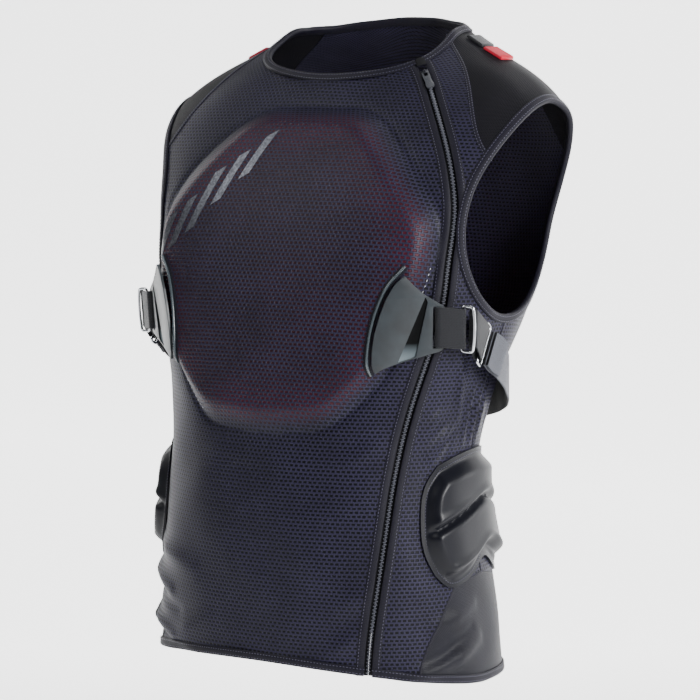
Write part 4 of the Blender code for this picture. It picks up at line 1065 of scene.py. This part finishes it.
def cut_shape(name, outlines, thick, soft, place):
    """A plate from closed outlines in millimetres, the first its edge and the others its holes."""
    curve = bpy.data.curves.new(name, "CURVE")
    curve.dimensions = "2D"
    curve.fill_mode = "BOTH"
    curve.extrude = thick / 2 * mm
    for points in outlines:
        poly(curve, [(x * mm, y * mm, 0) for x, y in points])
    thing = as_mesh(name, curve)
    bpy.ops.object.mode_set(mode="EDIT")
    bpy.ops.mesh.select_all(action="SELECT")
    bpy.ops.mesh.remove_doubles(threshold=1e-6)
    bpy.ops.mesh.normals_make_consistent(inside=False)
    bpy.ops.object.mode_set(mode="OBJECT")
    soften(thing, soft)
    thing.data.transform(place)
    return thing


def soften(thing, soft, segments=3):
    """Rounds the sharp edges of a piece."""
    if soft:
        alone(thing)
        bevel = thing.modifiers.new("bevel", "BEVEL")
        bevel.width = soft * mm
        bevel.segments = segments
        bevel.limit_method = "ANGLE"
        bevel.angle_limit = math.radians(50)
        bpy.ops.object.modifier_apply(modifier=bevel.name)


RUBBER = grained("moulded_rubber", 1400.0, "#2b2d31", "#4a4c52", roughness=0.42, coat_weight=0.15)[0]
TAB = ((-3.3, 0.1), (3.3, 0.1), (3.6, -6), (3.3, -13), (4.2, -19), (3.2, -22.5), (-3.2, -22.5), (-4.2, -19),
       (-3.3, -13), (-3.6, -6))
EYE = ((-1.8, -1.5), (1.8, -1.5), (1.8, -6.2), (-1.8, -6.2))
PIN_HEIGHT = 4.5 * mm
at = ZF @ Matrix.Translation((0, 0, PIN_HEIGHT))
ribs = [block((-2.4, y, 0.5), (2.4, y + 0.8, 1.1), 0.25) for y in (-9.5, -11.5, -13.5, -15.5, -17.5)]
for rib in ribs:
    rib.data.transform(at)
pull = join([cut_shape("pull_tab", [rounded(TAB, 1.6), EYE], 1.6, 0.35, at)] + ribs, "pull_tab", Matrix())
dress(pull, RUBBER, body="pull", stands_for="zip_pull")
top_z = float(neck_z(zip_s(-0.0215)))
GF = frame_at(float(zip_s(top_z)), top_z - 0.0046)
GARAGE = ((-4.5, -5.5), (4.5, -5.5), (4.5, 4), (2.5, 5.5), (-2.5, 5.5), (-4.5, 4))
garage = cut_shape("zip_garage", [rounded(GARAGE, 1.5)], 1.3, 0.4,
                   GF @ Matrix.Translation((0, 0, PIN_HEIGHT)))
dress(garage, TAPE, stands_for="zip_guard")
garage.data.uv_layers.new(name="UVMap")
print("zip hardware made")

# %% [markdown]
# ## Hip pads
# Each pad is moulded foam under stretch cloth, with a flat sewn flange, a rounded body, a notch at
# the foot and two roof-shaped grooves that let it bend. The height over the cloth is worked out from
# the distance to the outline and to the groove lines, as a mould maker would measure them.

# %% Hip pads
HIP_MID = 97.0
HIP_SIDE = ((-33.0, -0.5070), (-36.5, -0.4850), (-36.8, -0.4550), (-34.5, -0.4220), (-29.0, -0.4035))
HIP_TOP = ((-29.0, -0.4035), (-20.0, -0.3960), (-9.0, -0.3915), (0.0, -0.3905))
HIP_LOW = ((-33.0, -0.5070), (-28.0, -0.5185), (-20.0, -0.5180), (-10.0, -0.5075), (0.0, -0.4965))
# The grooves' ends and ridge, in degrees from the pad's middle and heights.
CHEVRONS = (((-33, -0.4660), (-14, -0.4470), (0, -0.4370), (14, -0.4470), (33, -0.4660)),
            ((-29, -0.5120), (-12, -0.4950), (0, -0.4845), (12, -0.4950), (29, -0.5120)))
PAD_CLOTH, tree, shader, weave = grained("lycra_over_foam", 700.0, "#05060c", "#0b0c17", detail=3.0,
                                         roughness=0.4, sheen_weight=0.04, sheen_roughness=0.35,
                                         specular_ior_level=0.3)
bumped(tree, shader, weave, 0.12, 0.6)


def on_solid(name, s, z, foot, high, side, material, slot, **more):
    """A closed solid that stands on the cloth over a grid of points."""
    rows, wide = s.shape
    k = np.arange((rows - 1) * wide).reshape(rows - 1, wide)[:, :-1].ravel()
    tri = np.concatenate([np.stack([k, k + 1, k + wide + 1], 1), np.stack([k, k + wide + 1, k + wide], 1)])
    s, z, foot, high = [a.ravel() for a in (s, z, foot, high)]
    return piece(name, np.concatenate([lift(s, z, foot + high), lift(s, z, foot)]),
                 close(tri if side > 0 else tri[:, ::-1], len(s)), material, slot, **more)


def across_pad(points):
    half = [(HIP_MID + t, z) for t, z in points]
    return deg(*(half + [(HIP_MID - t, z) for t, z in reversed(points[:-1])]))


def even(points, n):
    p = walk(points, 1 * mm)
    w = np.linspace(0, len(p) - 1, n + 1)
    return np.stack([np.interp(w, range(len(p)), p[:, k]) for k in (0, 1)], -1)


def hip_pad(tag, side):
    """One pad. Gives its outline on the cloth."""
    nv = 70
    nu = 80
    left = even(smooth(deg(*[(HIP_MID + t, z) for t, z in HIP_SIDE])), nv)
    right = even(smooth(deg(*[(HIP_MID - t, z) for t, z in HIP_SIDE])), nv)
    low = even(smooth(across_pad(HIP_LOW)), nu)
    top = even(smooth(across_pad(HIP_TOP)), nu)
    u = np.linspace(0, 1, nu + 1)[None, :, None]
    v = np.linspace(0, 1, nv + 1)[:, None, None]
    grid = (1 - u) * left[:, None] + u * right[:, None]
    grid = grid + (1 - v) * (low - ((1 - u[0]) * low[0] + u[0] * low[-1]))[None]
    grid = grid + v * (top - ((1 - u[0]) * top[0] + u[0] * top[-1]))[None]
    loop = np.concatenate([low[:-1], right[:-1], top[::-1][:-1], left[::-1][:-1]])
    x = np.clip((inside_by(grid[..., 0], grid[..., 1], loop) - 6.5 * mm) / (15 * mm), 0, 1)
    high = 2.0 * mm + 11.4 * mm * np.sin(x * math.pi / 2) ** 1.4
    for line in CHEVRONS:
        p = walk(smooth(deg(*[(HIP_MID + t, z) for t, z in line])), 4 * mm)
        d = to_line(grid.reshape(-1, 2), p[:-1], p[1:]).min(-1).reshape(x.shape)
        above = grid[..., 1] > np.interp(grid[..., 0], p[:, 0], p[:, 1])
        high -= x ** 0.5 * 6.0 * mm * np.exp(-(d / (3.6 * mm)) ** 2)
        high += x * np.where(above, 1.6 * mm, 0.3 * mm) * np.exp(-((d - 7.5 * mm) / (4 * mm)) ** 2)
    if side < 0:
        grid = mirror(grid)
    s, z = np.moveaxis(grid, -1, 0)
    under = CLOTH + 0.6 * mm + np.maximum(relief(s, z), 0) * 0.3
    thing = on_solid("hip_foam_" + tag, s, z, under, high, side, PAD_CLOTH, "pad_lycra",
                     stands_for="hip_pad_" + tag)
    rim = np.concatenate([loop, loop[:1]])
    return mirror(rim) if side < 0 else rim


HANDS = (("left", 1), ("right", -1))
rows = [(hip_pad(tag, side), -4.2 * mm * side, CLOTH + 2.9 * mm) for tag, side in HANDS]
stitches("pad_thread", rows, THREAD, pitch=2.8 * mm, long=2.0 * mm, slot="pad_lycra")
print("hip pads", 2)

# %% [markdown]
# ## Side plates
# A plate is moulded nylon, about the size of a palm, with a slot for the webbing and a wedge-shaped
# hollow. Its outline is drawn as a curve, given thickness, hollowed with a wedge and then rounded on
# all its edges, which is where the light catches it.

# %% Plates and welts
BETA = math.radians(38.5)
PLATE_O = np.array([0.1135, -0.1685, -0.270])
ALONG = np.array([math.cos(BETA), math.sin(BETA), 0.0])
UP = np.array([0.0, 0.0, 1.0])
OUT = np.cross(ALONG, UP)
PLATE = ((29.8, 49.0), (20.5, 40.0), (12.5, 26.0), (7.0, 11.0), (2.2, -6.0), (0.0, -22.0), (-0.2, -36.0),
         (2.7, -44.0), (10.0, -39.3), (22.4, -34.7), (36.5, -30.3), (51.0, -26.5), (64.5, -22.5),
         (67.5, -20.0), (67.5, 18.5), (65.5, 21.0), (58.0, 25.5), (49.5, 30.5), (39.5, 39.0))
SLOT = ((57.0, -19.8), (61.0, -19.8), (61.0, 19.8), (57.0, 19.8))
WEDGE = ((49.8, 29.0), (52.0, 24.0), (41.5, -27.0), (37.6, -29.0), (24.5, -33.0))


tilt = Matrix.Rotation(math.atan(0.07), 4, "X")
axes = Matrix((ALONG, UP, OUT)).transposed().to_4x4()
PLATE_PLACE = Matrix.Translation(Vector(PLATE_O)) @ axes @ Matrix.Translation((0, 0, 6.5 * mm)) @ tilt
NYLON, tree, shader, _ = grained("satin_moulded_nylon", 60.0, "#1b2024", "#262d32", detail=4.0,
                                 spots=(0.3, 0.7), roughness=0.4, specular_ior_level=0.5,
                                 coat_weight=0.05, coat_roughness=0.25)
spark = noise(tree, add(tree, "TexCoord").outputs["Object"], 1800.0, 1.0)
bumped(tree, shader, spark.outputs["Fac"], 0.05, 0.5)
# The hollow's floor is painted with shade: dark where it lies in shadow, and pale at its lower end, where
# the light reaches it.
PAINTED_RECESS_SHADE, tree, shader = finish("recess_painted_shade", roughness=0.6, specular_ior_level=0.08)
height = add(tree, "SeparateXYZ", {0: add(tree, "TexCoord").outputs["Object"]}).outputs["Z"]
ramp(tree, shader, spread(tree, height, -0.302, -0.285), "#6f7a80", "#040506")


def take_away(target, tool):
    """Cuts the tool's shape out of the target."""
    alone(target)
    cut = target.modifiers.new("cut", "BOOLEAN")
    cut.operation = "DIFFERENCE"
    cut.solver = "EXACT"
    cut.object = tool
    bpy.ops.object.modifier_apply(modifier=cut.name)
    bpy.data.objects.remove(tool, do_unlink=True)


plate = cut_shape("wing_plate_left", [rounded(PLATE, 2.2), rounded(SLOT, 1.4)], 2.6, 0, Matrix())
wedge = cut_shape("wedge", [rounded(WEDGE, 1.2)], 2.4, 0, Matrix.Translation((0, 0, 1.0 * mm)))
take_away(plate, wedge)
soften(plate, 0.4)
floor_faces = [f.index for f in plate.data.polygons if f.normal.z > 0.9 and f.center.z < 0.4 * mm]
plate.data.transform(PLATE_PLACE)


def other_side(thing, name):
    """A copy with its own mesh on the wearer's right."""
    twin = thing.copy()
    twin.data = thing.data.copy()
    twin.name = name
    twin.data.transform(Matrix.Scale(-1, 4, (1, 0, 0)))
    twin.data.flip_normals()
    bpy.context.scene.collection.objects.link(twin)
    return twin


twin = other_side(plate, "wing_plate_right")
dress(plate, NYLON, stands_for="wing_left", angle=30)
dress(twin, NYLON, stands_for="wing_right", angle=30)
# The hollow's floor faces take the painted shade.
for thing in (plate, twin):
    thing.data.materials.append(PAINTED_RECESS_SHADE)
    for k in floor_faces:
        thing.data.polygons[k].material_index = 1
print("plate faces", len(plate.data.polygons), "recess faces", len(floor_faces))


def plate_low(a, b):
    return 5.2 + 0.07 * b


def plate_point(a, b, n, side=1):
    p = PLATE_O + ALONG * a * mm + UP * b * mm + OUT * n * mm
    return np.array([p[0] * side, p[1], p[2]])


WELT = ((32.5, 56.0), (28.2, 51.5), (16.9, 39.5), (9.2, 25.5), (3.3, 10.0), (-1.0, -7.0), (-3.2, -23.0),
        (-3.4, -37.0), (-0.6, -46.5))
TPU = finish("clear_grey_tpu", "#4c555b", roughness=0.2, ior=1.5, transmission_weight=0.35,
             coat_weight=0.3)[0]


def behind(a, b):
    """Cloth position straight behind a point of the plate's frame."""
    target = plate_point(a, b, 0.0)
    s = 0.12
    z = target[2]
    for _ in range(30):
        at_s = np.array([s])
        at_z = np.array([z])
        gap = target - lift(at_s, at_z, relief(at_s, at_z) + CLOTH)[0]
        ps, pz = slopes(at_s, at_z)
        s += float(np.dot(gap, ps[0]) / np.dot(ps[0], ps[0])) * 0.7
        z += float(np.dot(gap, pz[0]) / np.dot(pz[0], pz[0])) * 0.7
    return s, z


welt_path = smooth(np.array([behind(a, b) for a, b in WELT]))
section = [(1.2 * mm * math.cos(a), CLOTH + 2.2 * mm + 1.5 * mm * math.sin(a))
           for a in np.linspace(0, 2 * math.pi, 13)[:-1]]
for tag, change in LINE_SIDES:
    path = change(welt_path)
    skin("welt_trim_" + tag, tape_rings(path, section), TPU, "welt_rubber", stands_for="wing_welt_" + tag)
    ribbon("welt_tape_" + tag, path, 6.0 * mm, TAPE, "edge_tape", thick=0.8 * mm)
print("welts", 2)

# %% [markdown]
# ## Webbing, hooks and adjusters
# The webbing loops from the plate's slot round a bent wire hook. The hook catches the strap's end
# loop, and the strap runs through a wire adjuster to the back. The wires are curves with a round
# section. The webbing is a band with softened edges whose weave follows its UV map.

# %% Wire rings
STEEL = grained("polished_steel_wire", 500.0, "#c9ccd2", "#f0f2f5", roughness=0.14, metallic=1.0)[0]


def wire_ring(name, centre, along, up, long, tall, wire, bow=0.0):
    """A closed wire with rounded corners, one long bar bowed outward."""
    corners = rounded(((-long / 2, -tall / 2), (long / 2, -tall / 2), (long / 2, tall / 2),
                       (-long / 2, tall / 2)), 3.4)
    curve = bpy.data.curves.new(name, "CURVE")
    curve.dimensions = "3D"
    curve.bevel_depth = wire / 2 * mm
    curve.bevel_resolution = 3
    points = []
    for k, (a, b) in enumerate(corners):
        nxt = corners[(k + 1) % len(corners)]
        count = 8 if math.dist((a, b), nxt) > 8 else 1
        for u in np.linspace(0, 1, count, endpoint=False):
            x = a + (nxt[0] - a) * u
            y = b + (nxt[1] - b) * u
            if x > 0:
                x += bow * max(0.0, 1 - (2 * y / tall) ** 2)
            points.append(centre + along * x * mm + up * y * mm)
    poly(curve, points)
    return as_mesh(name, curve)


def unit(v):
    return v / np.linalg.norm(v)


STRAP = ((0.1895, -0.0915, -0.2880), (0.1940, -0.0700, -0.3030), (0.1890, -0.0460, -0.3190),
         (0.1755, -0.0200, -0.3340), (0.1550, 0.0000, -0.3450), (0.1300, 0.0140, -0.3530),
         (0.1000, 0.0235, -0.3580), (0.0700, 0.0300, -0.3600))
bar_a = plate_point(64.3, 0.0, plate_low(64.3, 0.0) + 1.3)
bar_b = plate_point(83.0, -1.5, plate_low(64.3, 0.0) + 0.8)
lift_up = unit(UP + OUT * 0.07)
chain_dir = unit(bar_b - bar_a)
tipped = unit(chain_dir + OUT * 0.6)
hook_mid = bar_b + chain_dir * 1.6 * mm + tipped * 5.5 * mm
bar_c = bar_b + chain_dir * 12.6 * mm + OUT * 0.4 * mm
strap_start = np.array(STRAP[0])
lean = unit(strap_start - bar_c)
strap_out = unit(np.cross(lean, UP))
strap_up = np.cross(strap_out, lean)
hook = wire_ring("wire_hook_left", hook_mid, tipped, lift_up, 11, 43, 2.8, bow=1.6)
adjuster = wire_ring("wire_adjuster_left", strap_start + lean * 1.2 * mm, lean, strap_up, 9, 43, 2.6)
for thing, node in ((hook, "hook_"), (adjuster, "adjuster_")):
    twin = other_side(thing, thing.name.replace("left", "right"))
    dress(thing, STEEL, stands_for=node + "left")
    dress(twin, STEEL, stands_for=node + "right")
print("wire rings", 4)


# %% Webbing
def mirrored(points, side):
    return np.asarray(points) * (side, 1, 1)


def loop_rings(start, end, up_end, up_start, out, tall, half_gap, thick):
    """Rings of a band folded round two bars."""
    along = unit(end - start)
    rings = []
    for centre, first, up in ((end, -90, up_end), (start, 90, up_start)):
        for k in range(13):
            a = math.radians(first + 15 * k)
            d = along * math.cos(a) + out * math.sin(a)
            p = centre + d * half_gap * mm
            q = centre + d * (half_gap + thick) * mm
            rise = up * tall / 2 * mm
            rings.append([p - rise, q - rise, q + rise, p + rise])
    return np.array(rings)


def strap_rings(low, high, off, wide, thick, count, wave=0.0):
    """Rings of a flat strap along its line, between two distances."""
    p = np.array(STRAP)
    v = length_to(p)
    w = np.linspace(low, high if high > 0 else v[-1], count)
    line = np.stack([spline(v, p[:, k])(w) for k in range(3)], -1)
    t = np.gradient(line, axis=0)
    rings = []
    for k, (q, d, run) in enumerate(zip(line, t, w)):
        o = unit(np.cross(d, UP))
        blend = max(0.0, 1 - (run - 7.8 * mm) / (14 * mm))
        o = unit(o * (1 - blend) + strap_out * blend)
        rise = unit(np.cross(o, d)) * wide / 2 * mm
        q = q + o * (off * mm + wave * mm * math.sin(run * 260))
        h = o * thick / 2 * mm
        rings.append([q - rise - h * 0.4, q - rise + h * 0.4, q - rise * 0.97 + h, q + rise * 0.97 + h,
                      q + rise + h * 0.4, q + rise - h * 0.4, q + rise * 0.97 - h, q - rise * 0.97 - h])
    return np.array(rings)


# Which of a ring's eight points lie on the strap's outer side; the other side gets painted shade.
OUTER_SIDE = (0, 1, 1, 1, 1, 0, 0, 0)
web_rings = loop_rings(bar_a, bar_b, lift_up, lift_up, OUT, 38, 3.9, 1.5)
end_rings = loop_rings(bar_c, strap_start - lean * 4 * mm, strap_up, lift_up, strap_out, 36, 2.9, 1.5)
long_rings = strap_rings(7.8 * mm, 0, 0, 37, 1.8, 60, 0.25)
tail_rings = strap_rings(8.5 * mm, 0.030, 2.9, 36, 2.4, 20, 0.25)
for tag, side in HANDS:
    web = skin("plate_web_" + tag, mirrored(web_rings, side), WEB, "webbing", True,
               stands_for="front_web_" + tag)
    end = skin("strap_loop_" + tag, mirrored(end_rings, side), WEB, "webbing", True,
               stands_for="strap_end_" + tag)
    for thing in (web, end):
        soften(thing, 0.4, 2)
    # The strap and its tail carry the painted light and shade of their webbing.
    skin("strap_" + tag, mirrored(long_rings, side), STRAP_WEB, "webbing",
         stands_for="side_strap_" + tag, tint=OUTER_SIDE * len(long_rings))
    skin("strap_tail_" + tag, mirrored(tail_rings, side), STRAP_WEB, "webbing",
         tint=OUTER_SIDE * len(tail_rings))
print("straps", 2)

# %% [markdown]
# ## Tabs and patches
# A short webbing tab and a ribbed red rubber tab sit on each shoulder beside the neck, and a patch
# holds each strap at the back. All are small plates that follow the cloth. Their height falls off
# towards the edge, so the light finds a rounded rim.

# %% Tabs and patches
RED = grained("moulded_red_rubber", 1200.0, "#b80b26", "#d4183a", roughness=0.36, coat_weight=0.2)[0]


def small_plate(name, start, end, off, thick, material, slot, side, node, ribs=0.0, n=(48, 16)):
    """A plate on the cloth between two corners in degrees and heights."""
    u, v = np.meshgrid(np.linspace(0, 1, n[0] + 1), np.linspace(0, 1, n[1] + 1))
    s = RAD * np.radians(start[0] + (end[0] - start[0]) * u) * side
    z = start[1] + (end[1] - start[1]) * v
    rim = np.minimum(np.minimum(u, 1 - u) * 24, np.minimum(v, 1 - v) * 10).clip(0, 1)
    wavy = 0.5 + 0.5 * np.cos(u * 44 * math.pi)
    high = thick * (0.55 + 0.45 * np.sqrt(1 - (1 - rim) ** 2)) - ribs * wavy
    uv = metres(np.stack([s.ravel(), z.ravel()], -1))
    on_solid(name, s, z, relief(s, z) + CLOTH + off, high, side, material, slot,
             uv=np.concatenate([uv, uv]), stands_for=node)


for tag, side in HANDS:
    small_plate("webbing_tab_" + tag, (83, -0.0110), (105, -0.0005), 0.6 * mm, 2.8 * mm, WEB, "webbing",
                side, "shoulder_tab_" + tag)
    small_plate("ribbed_tab_" + tag, (81.5, -0.0235), (99, -0.0128), 0.6 * mm, 3.6 * mm, RED,
                "red_rubber", side, "red_tab_" + tag, ribs=0.35 * mm, n=(132, 16))
    small_plate("rear_patch_" + tag, (146, -0.3815), (158, -0.3385), 0.8 * mm, 2.2 * mm, WEB, "webbing",
                side, "strap_patch_" + tag)

# %% [markdown]
# ## Bars on the chest
# A few plain slanted bars in silver film stand where a print would be. Each is a thin plate on the
# mesh, so it follows the guard's step and catches the light like a transfer.

# %% Silver bars
FILM = grained("silver_transfer_film", 420.0, "#3c3e45", "#797c85", spots=(0.35, 1.0), roughness=0.38,
               metallic=0.55)[0]
# Middle in degrees and height, then length and width in millimetres.
BARS = ((-46, -0.222, 46, 12), (-39, -0.204, 60, 12), (-32, -0.184, 50, 12), (-25, -0.163, 62, 12),
        (-18, -0.142, 50, 12), (-11, -0.121, 44, 12))
BAR_SLANT = np.array([0.42, 0.91])
BAR_ACROSS = np.array([0.85, 0.53])
for k, (t, z, long, wide) in enumerate(BARS):
    mid = deg((t, z))[0]
    a = BAR_SLANT * long * mm / 2
    b = BAR_ACROSS * wide * mm / 2
    corners = [mid - a - b, mid - a + b, mid + a + b, mid + a - b]
    sides = [(walk([corners[i], corners[(i + 1) % 4]], 2 * mm), 0.05 * mm) for i in range(4)]
    panel("chest_bar_%d" % (k + 1), sides, FILM, "plate_nylon", step=2.5 * mm, low=CLOTH + 0.05 * mm,
          thick=0.25 * mm)
